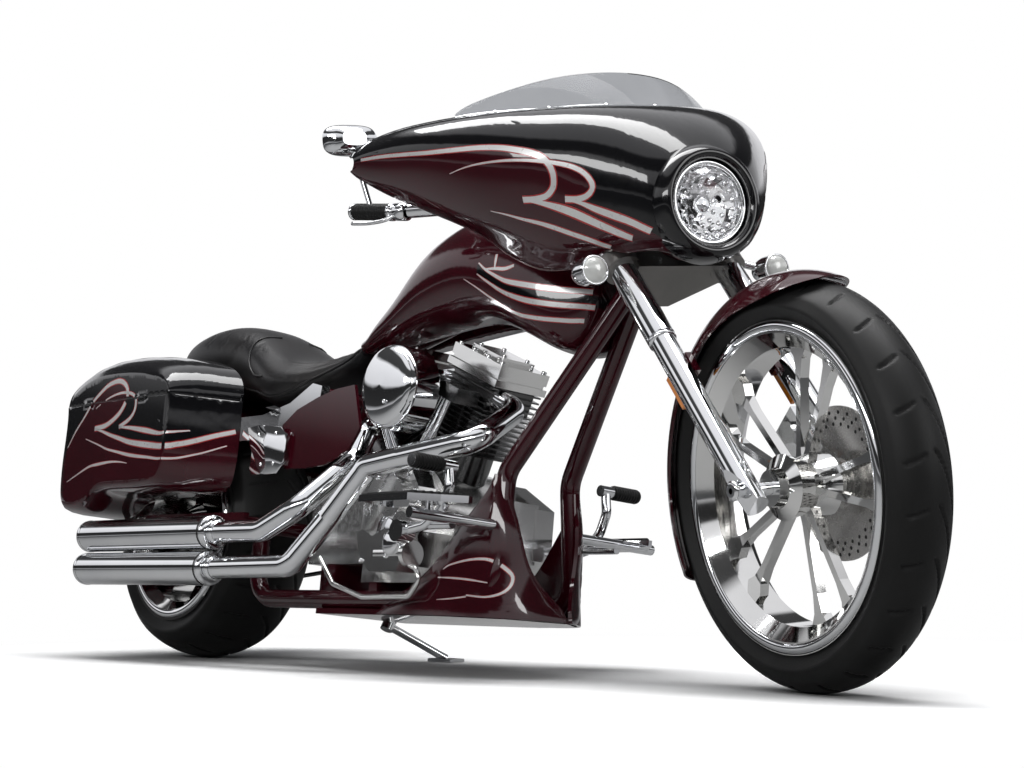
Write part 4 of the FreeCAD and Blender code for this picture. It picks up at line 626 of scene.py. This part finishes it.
def blown_seat():
    scene = bpy.context.scene
    piece = link(bpy.data.objects.new("seat_cover", NODES["seat"].data.copy()))
    piece.data.transform(NODES["seat"].matrix_world)
    skin = piece.modifiers.new("skin", "REMESH")
    skin.mode = "VOXEL"
    skin.voxel_size = SKIN_VOXEL
    apply_modifiers(piece)
    form = bmesh.new()
    form.from_mesh(piece.data)
    for _ in range(3):
        bmesh.ops.smooth_vert(form, verts=form.verts, factor=0.5, use_axis_x=True,
                              use_axis_y=True, use_axis_z=True)
    form.normal_update()
    for vert in form.verts:
        vert.co -= vert.normal * SHRINK
    form.to_mesh(piece.data)
    form.free()
    before = [v.co.copy() for v in piece.data.vertices]
    cloth = piece.modifiers.new("cloth", "CLOTH")
    cloth.settings.use_pressure = True
    cloth.settings.uniform_pressure_force = 4
    cloth.settings.effector_weights.gravity = 0
    cloth.settings.quality = 5
    for number in range(1, CLOTH_FRAMES + 1):
        scene.frame_set(number)
    apply_modifiers(piece)
    scene.frame_set(1)
    for vert, start in zip(piece.data.vertices, before):
        way = vert.co - start
        if way.length > LARGEST_SWELL:
            vert.co = start + way.normalized() * LARGEST_SWELL
    piece.data.materials.clear()
    piece.data.materials.append(LEATHER)
    piece.data.polygons.foreach_set("use_smooth", [True] * len(piece.data.polygons))
    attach(piece, "root")
    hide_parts("seat")
    return piece


SEAT = blown_seat()
inverse = STAND.inverted()
SEAT_SURFACE = BVHTree.FromPolygons([inverse @ v.co for v in SEAT.data.vertices],
                                    [list(p.vertices) for p in SEAT.data.polygons])
print("seat", len(SEAT.data.polygons), "faces")

# %% [markdown]
# Piping is a thin bar sunk a little into the leather, along lines dropped sideways onto the blown seat.

# %% Piping on the seat
def piping(line, side, radius):
    spots = []
    for mark in smooth_path([(x, 0, z) for x, z in line], 6.0):
        hit = drop(SEAT_SURFACE, mark.x, mark.z, side)
        if hit:
            spots.append(hit[0] + hit[1] * radius * 0.3)
    return bar(spots, radius, 8)


SEAT_LINES = [
    [(-100, 745), (-20, 735), (80, 728), (180, 712), (260, 690), (330, 676), (420, 655),
     (500, 662), (580, 694), (650, 735), (684, 768)],
    [(300, 845), (286, 800), (300, 750), (340, 715), (392, 705)],
]
seams = Bundle()
for side in (-1, 1):
    for line in SEAT_LINES:
        seams.add(piping(line, side, 3.2))
seams.piece("seat_piping", "root", LEATHER)
print("piping laid")

# %% [markdown]
# The shells are two colours: black above, wine below, parted by a scroll that each side mirrors.
# Masking such an edge with a picture isn't wanted here, and cutting the shell along it would ruin its
# curve. So each painted shell is a finer copy whose points know how far they are from the paint line,
# and the paint turns from one colour to the other where that distance passes zero.

# %% Two-colour paint
EDGE_BLEND = 0.6
SPLIT_ROUNDS = 7
CREASE = math.radians(32)
BATCH = 4000


def two_colour_paint():
    made = finish("two_colour_paint", *WINE_LOOK, Specular_IOR_Level=0.1)
    tree = made.node_tree
    shader = tree.nodes["Principled BSDF"]
    wine = shader.inputs["Base Color"].links[0].from_socket
    away = node(tree, "Attribute", attribute_name="paint_line")
    mask = ramp(tree, away.outputs["Fac"], 0, 1, -EDGE_BLEND, EDGE_BLEND)
    tree.links.new(mix_colour(tree, mask, (0.004, 0.004, 0.005), wine),
                   shader.inputs["Base Color"])
    return made


def paint_line_distance(spots, outlines):
    """How far points are inside the nearest outline, in millimetres; outside is below zero."""
    best = np.full(len(spots), -1e3)
    for outline in outlines:
        edge = np.array([(p.x, p.z) for p in smooth_path(
            [(x, 0, z) for x, z in outline + outline[:1]], 8.0)[:-1]])
        after = np.roll(edge, -1, axis=0)
        way = after - edge
        size = np.maximum((way ** 2).sum(1), 1e-9)
        gap = spots[:, None, :] - edge
        share = np.clip((gap * way).sum(2) / size, 0, 1)
        near = gap - share[..., None] * way
        far = np.sqrt((near ** 2).sum(2)).min(1)
        crosses = (edge[:, 1] > spots[:, 1:]) != (after[:, 1] > spots[:, 1:])
        rise = np.where(way[:, 1] == 0, 1e-9, way[:, 1])
        cut_x = edge[:, 0] + (spots[:, 1:] - edge[:, 1]) * way[:, 0] / rise
        inside = (crosses & (spots[:, :1] < cut_x)).sum(1) % 2 == 1
        best = np.maximum(best, np.where(inside, far, -far))
    return best


def painted_shell(name, body, outlines, place=STAND, keep=1.0, longest=0.016):
    piece = link(bpy.data.objects.new(name + "_painted", NODES[name].data.copy()))
    if keep < 1:
        fewer = piece.modifiers.new("fewer", "DECIMATE")
        fewer.ratio = keep
        apply_modifiers(piece)
    form = bmesh.new()
    form.from_mesh(piece.data)
    bmesh.ops.remove_doubles(form, verts=form.verts, dist=1e-6)
    for _ in range(SPLIT_ROUNDS):
        long = [e for e in form.edges if e.calc_length() > longest]
        if not long:
            break
        bmesh.ops.subdivide_edges(form, edges=long, cuts=1)
        bmesh.ops.triangulate(form, faces=[f for f in form.faces if len(f.verts) > 3])
    form.to_mesh(piece.data)
    form.free()
    mesh = piece.data
    mesh.set_sharp_from_angle(angle=CREASE)
    spots = np.empty(len(mesh.vertices) * 3)
    mesh.vertices.foreach_get("co", spots)
    inverse = np.array(place.inverted())
    local = spots.reshape(-1, 3) @ inverse[:3, :3].T + inverse[:3, 3]
    values = np.concatenate([paint_line_distance(part[:, [0, 2]], outlines)
                             for part in np.array_split(local, max(1, len(local) // BATCH))])
    mesh.attributes.new("paint_line", "FLOAT", "POINT").data.foreach_set(
        "value", values.astype(np.float32))
    mesh.materials.clear()
    mesh.materials.append(TWO_COLOUR)
    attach(piece, body)
    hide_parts(name)
    print(name, len(mesh.polygons), "faces")


TWO_COLOUR = two_colour_paint()
FAIRING_TOP_LINE = [(1120, 1164), (1220, 1162), (1281, 1157), (1344, 1149), (1423, 1138),
                    (1487, 1131), (1548, 1124), (1594, 1115), (1628, 1104), (1657, 1092)]
FAIRING_LOOP = [(1671, 1073), (1696, 1065), (1721, 1054), (1739, 1041), (1750, 1027),
                (1756, 1012), (1754, 1000), (1743, 990), (1725, 987), (1703, 991)]
FAIRING_TAIL = [(1730, 978), (1753, 962), (1777, 946), (1803, 928), (1825, 906)]
FAIRING_WINE = (FAIRING_TOP_LINE + FAIRING_LOOP + FAIRING_TAIL
                + [(1838, 860), (1838, 780), (1500, 760), (1120, 900)])
BAG_SCROLL = [(-242, 527), (-207, 569), (-165, 607), (-129, 642), (-90, 666), (-46, 685),
              (6, 691), (41, 678), (56, 656), (49, 632), (20, 603), (-38, 578), (-102, 571)]
BAG_TAIL = [(-102, 571), (-60, 562), (-16, 550), (40, 537), (94, 525), (178, 514), (254, 507),
            (277, 515), (295, 527), (318, 546), (340, 562)]
BAG_WINE = [(-330, 400)] + [(-300, 440)] + BAG_SCROLL + BAG_TAIL[1:] + [
    (420, 590), (420, 280), (-330, 280)]
TANK_UPPER = [(1238, 888), (1261, 870), (1304, 847), (1331, 837), (1381, 826), (1423, 818),
              (1459, 814), (1505, 812)]
TANK_LOWER = [(1233, 864), (1255, 850), (1306, 820), (1348, 803), (1389, 791), (1435, 783),
              (1470, 780), (1505, 780)]
painted_shell("fairing", "fork", [FAIRING_WINE], FORK_PLACE, 0.35, 0.03)
for side_name in ("right", "left"):
    painted_shell("saddlebag_" + side_name, "root", [BAG_WINE])
    painted_shell("bag_lid_" + side_name, "lid_" + side_name, [BAG_WINE])
painted_shell("fuel_tank", "root", [[(500, 500), (500, 1200), (1700, 1200), (1700, 812)]
                                    + TANK_UPPER[::-1][1:] + TANK_LOWER
                                    + [(1700, 780), (1700, 500)]])

# %% [markdown]
# A pinstripe is one pull of a brush: it swells, thins at its ends and turns back on itself at a sharp
# tip. Each is given as marks with a width. A thin red line shows on both its edges, so a wider red
# ribbon lies below it. On the saddlebags a stripe stops short of the seam, so that the lid can open.

# %% Pinstripes
def swelling(points, first, middle, last):
    """Marks whose width grows from its first value to its middle one and ends at its last."""
    widths = np.interp(np.linspace(0, 1, len(points)), (0, 0.5, 1), (first, middle, last))
    return [(x, z, width) for (x, z), width in zip(points, widths.tolist())]


SEAM_HEIGHT = 640
SEAM_GAP = 3
BELOW_SEAM = (EVERYWHERE[0], SEAM_HEIGHT - SEAM_GAP)
ABOVE_SEAM = (SEAM_HEIGHT + SEAM_GAP, EVERYWHERE[1])
pinstripes("fairing", surface_of("fairing", place=FORK_PLACE), [
    swelling(FAIRING_TOP_LINE[1:] + [(1675, 1079), (1686, 1063), (1691, 1043), (1689, 1024),
                                     (1683, 1013), (1669, 1003), (1647, 1001), (1621, 1004)],
             6, 12, 12),
    swelling([(1621, 1004), (1656, 991), (1705, 965), (1753, 928), (1789, 898)], 3, 16, 13),
    swelling([(1470, 1085), (1509, 1090), (1547, 1091), (1594, 1088), (1640, 1081)]
             + FAIRING_LOOP, 1.5, 9, 12),
    swelling(FAIRING_LOOP[-1:] + FAIRING_TAIL, 3, 14, 12),
    swelling([(1531, 997), (1562, 985), (1597, 969), (1630, 955), (1657, 941), (1685, 924),
              (1708, 910), (1736, 889)], 1.5, 10, 11)], "fork", FORK_PLACE)
for side, side_name in ((-1, "right"), (1, "left")):
    loop_b = [(-108, 625), (-68, 641), (-23, 653), (24, 658), (66, 655), (94, 645), (104, 630),
              (100, 605), (76, 585), (28, 568)]
    lines = [swelling(BAG_SCROLL, 3, 12, 12), swelling(BAG_TAIL, 4, 14, 10),
             swelling(loop_b, 2, 8, 10),
             swelling([(28, 568), (86, 563), (170, 551), (247, 540), (290, 552)], 4, 12, 3),
             swelling([(-145, 546), (-81, 529), (-24, 513), (37, 502), (102, 491), (185, 482),
                       (258, 476), (295, 493), (332, 524)], 2, 8, 3),
             swelling([(-226, 434), (-168, 453), (-111, 470), (-58, 475), (0, 478), (48, 476),
                       (90, 471)], 2, 7, 2)]
    pinstripes("bag_" + side_name, surface_of("saddlebag_" + side_name), lines, "root",
               sides=(side,), heights=BELOW_SEAM)
    pinstripes("lid_" + side_name, surface_of("bag_lid_" + side_name), lines, "lid_" + side_name,
               sides=(side,), heights=ABOVE_SEAM)
pinstripes("tank", surface_of("fuel_tank"), [
    swelling(TANK_UPPER, 3, 11, 10), swelling(TANK_LOWER, 2, 11, 10),
    swelling([(1188, 858), (1225, 837), (1264, 812), (1306, 787), (1351, 767), (1409, 754),
              (1461, 749), (1488, 751)], 1.5, 8, 9),
    swelling([(1289, 902), (1288, 886), (1287, 870)], 6, 6, 3),
    swelling([(1258, 872), (1290, 870), (1317, 867), (1342, 872)], 3, 8, 6)], "root")
pinstripes("cowl", surface_of("lower_cowl"), [
    swelling([(1196, 216), (1216, 225), (1269, 236), (1311, 239), (1334, 233), (1351, 221),
              (1362, 205), (1360, 183), (1345, 167), (1315, 159), (1268, 161)], 2, 8, 3),
    swelling([(1180, 198), (1228, 197), (1277, 194), (1320, 189)], 1.5, 5, 2),
    swelling([(1180, 150), (1225, 153), (1268, 158)], 1, 3, 3)], "root")
print("pinstripes laid")

# %% [markdown]
# The headlamp is deep glass over a bright bowl. The solid is only its outline, so it is built again in
# layers: a chrome rim inside the black hood's ring, a bowl studded with small bright domes, a cap in
# front of the bulb, and a clear domed lens over all.

# %% Headlamp
LAMP_MIDDLE = Vector((1858, 0, 958))
AHEAD = Vector((1, 0, 0))


def lamp_form(name, profile, material, steps, smooth=True):
    return make_piece(name, *turned(profile, LAMP_MIDDLE, AHEAD, steps), "fork", material,
                      FORK_PLACE, smooth)


rim = lamp_form("headlamp_rim", [(80, -58), (86, -56), (86, -2), (84.5, 3), (80, 4.5), (76, 2),
                                 (75, -6), (76, -50)], CHROME, 64)
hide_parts("headlamp")
lamp_form("headlamp_hood", [(87.5, -40), (87.5, 9), (90, 15), (95, 18.5), (101, 18.5), (107, 15.5),
                            (112, 9), (116, -1), (119, -15), (120, -36)], BLACK, 96)
lamp_form("headlamp_bowl", [(75.5, -5), (70, -20), (60, -33), (46, -44), (28, -52), (12, -55),
                            (0.1, -56)], MIRROR, 28, False)
lamp_form("headlamp_bulb_cap", [(17, -34), (19, -26), (17, -20), (9, -17), (0.1, -16)], CHROME, 32)
lens = lamp_form("headlamp_lens", [(78, -4), (77, 4), (68, 13), (52, 21), (32, 26.5), (14, 29),
                                   (0.1, 29.5), (0.1, 26.5), (14, 26), (32, 23.5), (52, 18),
                                   (67, 10), (74, 2), (75, -4)], GLASS, 64)
cells = Bundle()
for ring, (radius, height) in enumerate(((22, -52), (38, -47), (54, -38), (67, -24))):
    count = 6 + ring * 6
    for number in range(count):
        angle = 2 * math.pi * (number + 0.5 * (ring % 2)) / count
        spot = LAMP_MIDDLE + Vector((height + 2, radius * math.cos(angle), radius * math.sin(angle)))
        inward = Vector((0.75, -math.cos(angle) * 0.66, -math.sin(angle) * 0.66))
        cells.add(dome(spot, inward, 5.2, 2.6))
cells.piece("headlamp_facets", "fork", MIRROR, FORK_PLACE)
print("headlamp layers and", len(cells.faces), "facet faces")

# %% [markdown]
# A turn signal is a domed lens in a bright rim. Thin raised rings on the lens catch the light.

# %% Turn signals
SIGNAL = Vector((1760, 215, 840))
glow = Bundle()
caps = Bundle()
for side in (-1, 1):
    middle = SIGNAL * Vector((1, side, 1))
    caps.add(turned([(26, -1), (26.5, 2), (22, 6.5), (14, 9.5), (6, 11), (0.1, 11.4)], middle,
                    AHEAD, 40))
    glow.add(turned([(27.5, -3), (30, -1), (30, 2), (27, 3), (26, 0.5)], middle, AHEAD, 48))
    for ring in range(3):
        radius = 6 + ring * 6.5
        glow.add(turned([(radius, 0.2), (radius + 1.6, 1.6), (radius + 3.2, 0.2)], middle,
                        AHEAD, 40))
caps.piece("signal_lenses", "fork", CLEAR, FORK_PLACE)
glow.piece("signal_rims", "fork", CHROME, FORK_PLACE)
print("turn signals have lenses")

# %% [markdown]
# The windshield is held to the shell by a bright strip and a row of domed rivets.
# The strip follows the shell's upper edge. Its marks were measured on one side and are mirrored.

# %% Windshield strip
EDGE_MARKS = [(1394, -330, 1214), (1440, -300, 1213.5), (1492, -250, 1210), (1535, -200, 1206),
              (1572, -150, 1204), (1598, -100, 1203), (1614, -50, 1201), (1620, 0, 1200)]
edge_line = EDGE_MARKS + [(x, -y, z) for x, y, z in EDGE_MARKS[-2::-1]]
strip = Bundle()
path = [p + Vector((3, 0, 3)) for p in smooth_path(edge_line, 12)]
strip.add(bar(path, 3.2, 8))
for i in range(8, len(path) - 6, 9):
    strip.add(dome(path[i] + Vector((2, 0, 1)), Vector((0.7, 0, 0.7)), 5, 4))
strip.piece("windshield_strip", "fork", CHROME, FORK_PLACE)
print("strip of", len(path), "marks")

# %% [markdown]
# Hands and feet meet rubber: ribbed grips, ribbed pegs and ridged pads on the boards.
# Each sleeve is a profile turned round the bar it covers. The grips have bright rings at their ends,
# and the levers are bent bars.

# %% Grips, pegs and boards
def ribbed(length, radius, rib, pitch):
    profile = [(radius * 0.7, 0), (radius, 1)]
    for number in range(int((length - 8) / pitch)):
        start = 5 + number * pitch
        profile += [(radius, start), (radius + rib, start + pitch * 0.2),
                    (radius + rib, start + pitch * 0.65), (radius, start + pitch * 0.8)]
    return profile + [(radius, length - 1), (radius * 0.7, length)]


sleeves = Bundle()
rings = Bundle()
for side in (-1, 1):
    start = Vector((1086, 441 * side, 1072.3))
    along = Vector((1200, 392 * side, 1052)) - start
    sleeves.add(turned(ribbed(112, 17.4, 1.4, 7), start + along.normalized() * 4, along, 28))
    rings.add(turned([(0.1, -5), (12, -5), (18, -2), (19, 1), (19, 5), (16, 6)], start, along, 32))
    rings.add(turned([(16, 0), (20, 1), (20, 9), (16, 10)], start + along.normalized() * 114,
                     along, 32))
    lever = smooth_path([(1222, 392 * side, 1046), (1200, 418 * side, 1034),
                         (1160, 442 * side, 1034), (1120, 462 * side, 1040)], 6)
    rings.add(bar(lever, 4.5, 8))
    rings.add(turned([(15, -16), (20, -14), (20, 14), (15, 16)],
                     Vector((1222, 383 * side, 1049)), along, 24))
sleeves.piece("grip_rubbers", "fork", RUBBER, FORK_PLACE)
rings.piece("grip_rings_and_levers", "fork", CHROME, FORK_PLACE)
pads = Bundle()
plan = [(1134, 260), (1392, 260), (1392, 264), (1350, 299), (1298, 343), (1134, 343)]
for side, top, tip in ((-1, 354, (1298, 424)), (1, 324, (1263, 436))):
    peg = Vector((tip[0], 262 * side, tip[1]))
    pads.add(turned(ribbed(80, 15.5, 1.5, 8), peg, (0, side, 0), 28))
    points = [(x, y * side, top + rise) for rise in (0.4, 3.4) for x, y in plan]
    count = len(plan)
    pads.add((points, [list(range(count, 2 * count))] + tube_faces(2, count)))
    for number in range(7):
        y = (268 + number * 11) * side
        far = 1384 - max(0, number * 11 - 4) * 1.15
        pads.add(bar([(1142, y, top + 4), (far, y, top + 4)], 2.8, 6))
pads.piece("peg_and_board_rubbers", "root", RUBBER)
print("rubbers fitted")

# %% [markdown]
# Screws give an engine its scale. Places were marked in the side view, and each is dropped onto the
# solid, so a screw always sits on the metal. Those on the rocker boxes are placed along the cylinder's
# lean instead: eight on each box and four on its lid.

# %% Engine screws
CRANK = Vector((993, 0, 330))
CYLINDER_LEANS = (22.5, -22.5)
BOX_TOP = 412.3
LID_TOP = 424.3


def tilted(lean, along, across, out):
    lean = math.radians(lean)
    axis = Vector((math.sin(lean), 0, math.cos(lean)))
    side = Vector((axis.z, 0, -axis.x))
    return CRANK + axis * along + side * across + Vector((0, out, 0)), axis


chrome_screws = Bundle()
for lean in CYLINDER_LEANS:
    for top, places, out, size in ((BOX_TOP, (-82, -28, 28, 82), 61, 6), (LID_TOP, (-46, 46), 34, 5)):
        for across in places:
            for side in (-1, 1):
                spot, axis = tilted(lean, top, across, out * side)
                chrome_screws.add(screw(spot, axis, size, size))
chrome_screws.piece("rocker_screws", "root", CHROME)


def screws_on(name, nodes, spots, side, radius, height):
    surface = surface_of(*nodes)
    bundle = Bundle()
    for x, z in spots:
        hit = drop(surface, x, z, side)
        if hit:
            bundle.add(screw(*hit, radius, height))
    bundle.piece(name, "root", CHROME)


screws_on("cam_case_screws", ["cam_cover", "crankcase"], [
    (906, 290), (906, 378), (938, 424), (1000, 424), (1050, 424), (1080, 392), (1096, 310),
    (1058, 240), (968, 230), (930, 255)], -1, 5, 4)
screws_on("cylinder_feet_screws", ["crankcase"], [
    (920, 440), (1060, 440), (840, 330), (1130, 330), (1130, 250), (850, 260)], -1, 6, 5)
screws_on("primary_screws", ["primary_cover"], [
    (1090, 330), (1060, 400), (990, 420), (900, 425), (800, 425), (700, 420), (640, 380),
    (640, 300), (720, 260), (820, 250), (930, 245), (1030, 260)], 1, 5, 4)
PLATE_OUT = 193.5
PLATE_MIDDLE = (505, 512)
plates = Bundle()
for side in (-1, 1):
    outline = [(414, 566), (470, 570), (563, 560), (590, 540), (588, 470), (560, 446), (492, 446),
               (468, 470), (430, 520)]
    out = PLATE_OUT * side
    mid_x, mid_z = PLATE_MIDDLE
    ring = [(x, out - side * 2.5, z) for x, z in outline]
    inner = [(mid_x + (x - mid_x) * 0.94, out, mid_z + (z - mid_z) * 0.94) for x, z in outline]
    count = len(outline)
    plates.add((ring + inner + [(mid_x, out + side * 2.2, mid_z)],
                tube_faces(2, count)
                + [[count + i, count + (i + 1) % count, 2 * count] for i in range(count)]))
    for x, z in ((545, 545), (545, 470), (490, 470), (470, 545)):
        plates.add(dome((x, out, z), (0, side, 0), 5, 3.5))
plates.piece("strut_plates", "root", CHROME)
covers = Bundle()
for x, z, radius in ((1000, 300, 44), (1075, 268, 28)):
    hit = drop(surface_of("cam_cover", "crankcase"), x, z, -1)
    if hit:
        covers.add(turned([(radius, -2), (radius, 4), (radius * 0.92, 8), (radius * 0.6, 11),
                           (radius * 0.25, 12.5), (0.1, 12.7)], hit[0], (0, -1, 0), 48))
covers.piece("cam_domes", "root", CHROME)
print("screws, plates and domes set")

# %% [markdown]
# The air cleaner's face is one shallow dome with a single screw, so it mirrors the studio in rings.

# %% Air cleaner face
FACE = Vector((1028, -230, 619))
OUT = Vector((0, -1, 0))
face = Bundle()
face.add(turned([(90, -3), (88, 1), (80, 6), (66, 10.5), (48, 14), (26, 16.2), (0.1, 17)],
                FACE, OUT, 96))
face.add(screw(FACE + Vector((22, -15.6, -40)), OUT, 5, 3))
face.piece("air_cleaner_face", "root", CHROME)
print("air cleaner dressed")

# %% [markdown]
# Exhaust cans end in a rolled lip, and a dark band parts each can from its pipe.
# Both are turned forms a little larger than the can.

# %% Exhaust lips and bands
CAN_TAIL, CAN_FRONT, PIPE_RING = -190, 430, 452
CAN_SIDE = -268
CAN_HEIGHTS = (295, 208)
lips = Bundle()
bands = Bundle()
for height in CAN_HEIGHTS:
    tail, front, ring = (Vector((x, CAN_SIDE, height)) for x in (CAN_TAIL, CAN_FRONT, PIPE_RING))
    lips.add(turned([(36, 6), (36, -1), (37.5, -4), (40, -5), (42.3, -3), (42.8, 1), (42.3, 10)],
                    tail, AHEAD, 64))
    lips.add(turned([(40, -9), (42.6, -8), (42.6, -2), (41, 1), (33, 4), (27.4, 5)],
                    front, AHEAD, 64))
    bands.add(turned([(41.8, -15), (42.7, -14), (42.7, -11), (41.8, -10)], front, AHEAD, 64))
    lips.add(turned([(27.2, -8), (30, -7), (30, 7), (27.2, 8)], ring, AHEAD, 48))
lips.piece("exhaust_lips", "root", CHROME)
bands.piece("exhaust_bands", "root", RUBBER)
print("exhaust trimmed")

# %% [markdown]
# A bright bead runs round each side of a rim, beside the tyre. Its place is found by a ray onto the rim,
# and where the ray meets no flat metal no bead is made.

# %% Rim beads
for name, place, axle, radius, body in (
        ("front_wheel", FORK_PLACE, FRONT_AXLE, 297, "front_wheel"),
        ("rear_wheel", STAND, REAR_AXLE, 228, "rear_wheel")):
    beads = Bundle()
    surface = surface_of(name, place=place)
    for side in (-1, 1):
        hit = drop(surface, axle.x + radius, axle.z, side)
        if hit and abs(hit[1].y) > 0.9:
            middle = Vector((axle.x, hit[0].y, axle.z))
            beads.add(turned([(radius + 10, 0), (radius + 8, 3), (radius + 2, 4.6),
                              (radius - 4, 4), (radius - 9, 1.6), (radius - 10, 0)],
                             middle, (0, side, 0), 128))
            print(name, "bead at", hit[0])
    if beads.faces:
        beads.piece(name + "_rim_beads", body, CHROME, place)

# %% [markdown]
# A brake disc is drilled in rings; shallow wells of painted shade stand for the holes on both its faces.
# Each fork slider has a bright ring at its top, two pinch screws at its foot and a collar on the axle.

# %% Disc, fork and axle details
DISC_FACES = ((81.35, -1), (86.65, 1))
HOLES_IN_RING = 30
FORK_ANGLE = math.radians(40)
FORK_WAY = Vector((-math.sin(FORK_ANGLE), 0, math.cos(FORK_ANGLE)))
FORK_LEAD = Vector((math.cos(FORK_ANGLE), 0, math.sin(FORK_ANGLE)))
LEG_OUT = 125
SLIDER_TOP = 391
# Painted shade: each hole is a near-black shallow well, not a cut.
wells = Bundle()
for ring, radius in enumerate((134, 123, 112)):
    for number in range(HOLES_IN_RING):
        angle = 2 * math.pi * (number + ring / 3) / HOLES_IN_RING
        for face_y, outward in DISC_FACES:
            spot = FRONT_AXLE + Vector((math.cos(angle) * radius, face_y,
                                        math.sin(angle) * radius))
            way = (0, outward, 0)
            wells.add(turned([(3.6, 0), (3.4, 0.12), (TIP, 0.14)], spot, way, 12))
wells.piece("disc_holes", "front_wheel", HOLE_SHADE, FORK_PLACE)
fork_bits = Bundle()
for side in (-1, 1):
    foot = FRONT_AXLE + Vector((0, LEG_OUT * side, 0))
    fork_bits.add(turned([(25.3, 0), (28.6, 2), (28.6, 9), (25.3, 11)],
                         foot + FORK_WAY * SLIDER_TOP, FORK_WAY, 40))
    for rise in (24, 44):
        fork_bits.add(screw(foot + FORK_WAY * rise + FORK_LEAD * 24.5, FORK_LEAD, 5, 5))
    fork_bits.add(turned([(12.3, -2), (19, 0), (19, 7), (13, 9), (6.2, 9)],
                         foot + Vector((0, 26 * side, 0)), (0, side, 0), 32))
fork_bits.piece("fork_rings_and_screws", "fork", CHROME, FORK_PLACE)
print("disc drilled, fork dressed")
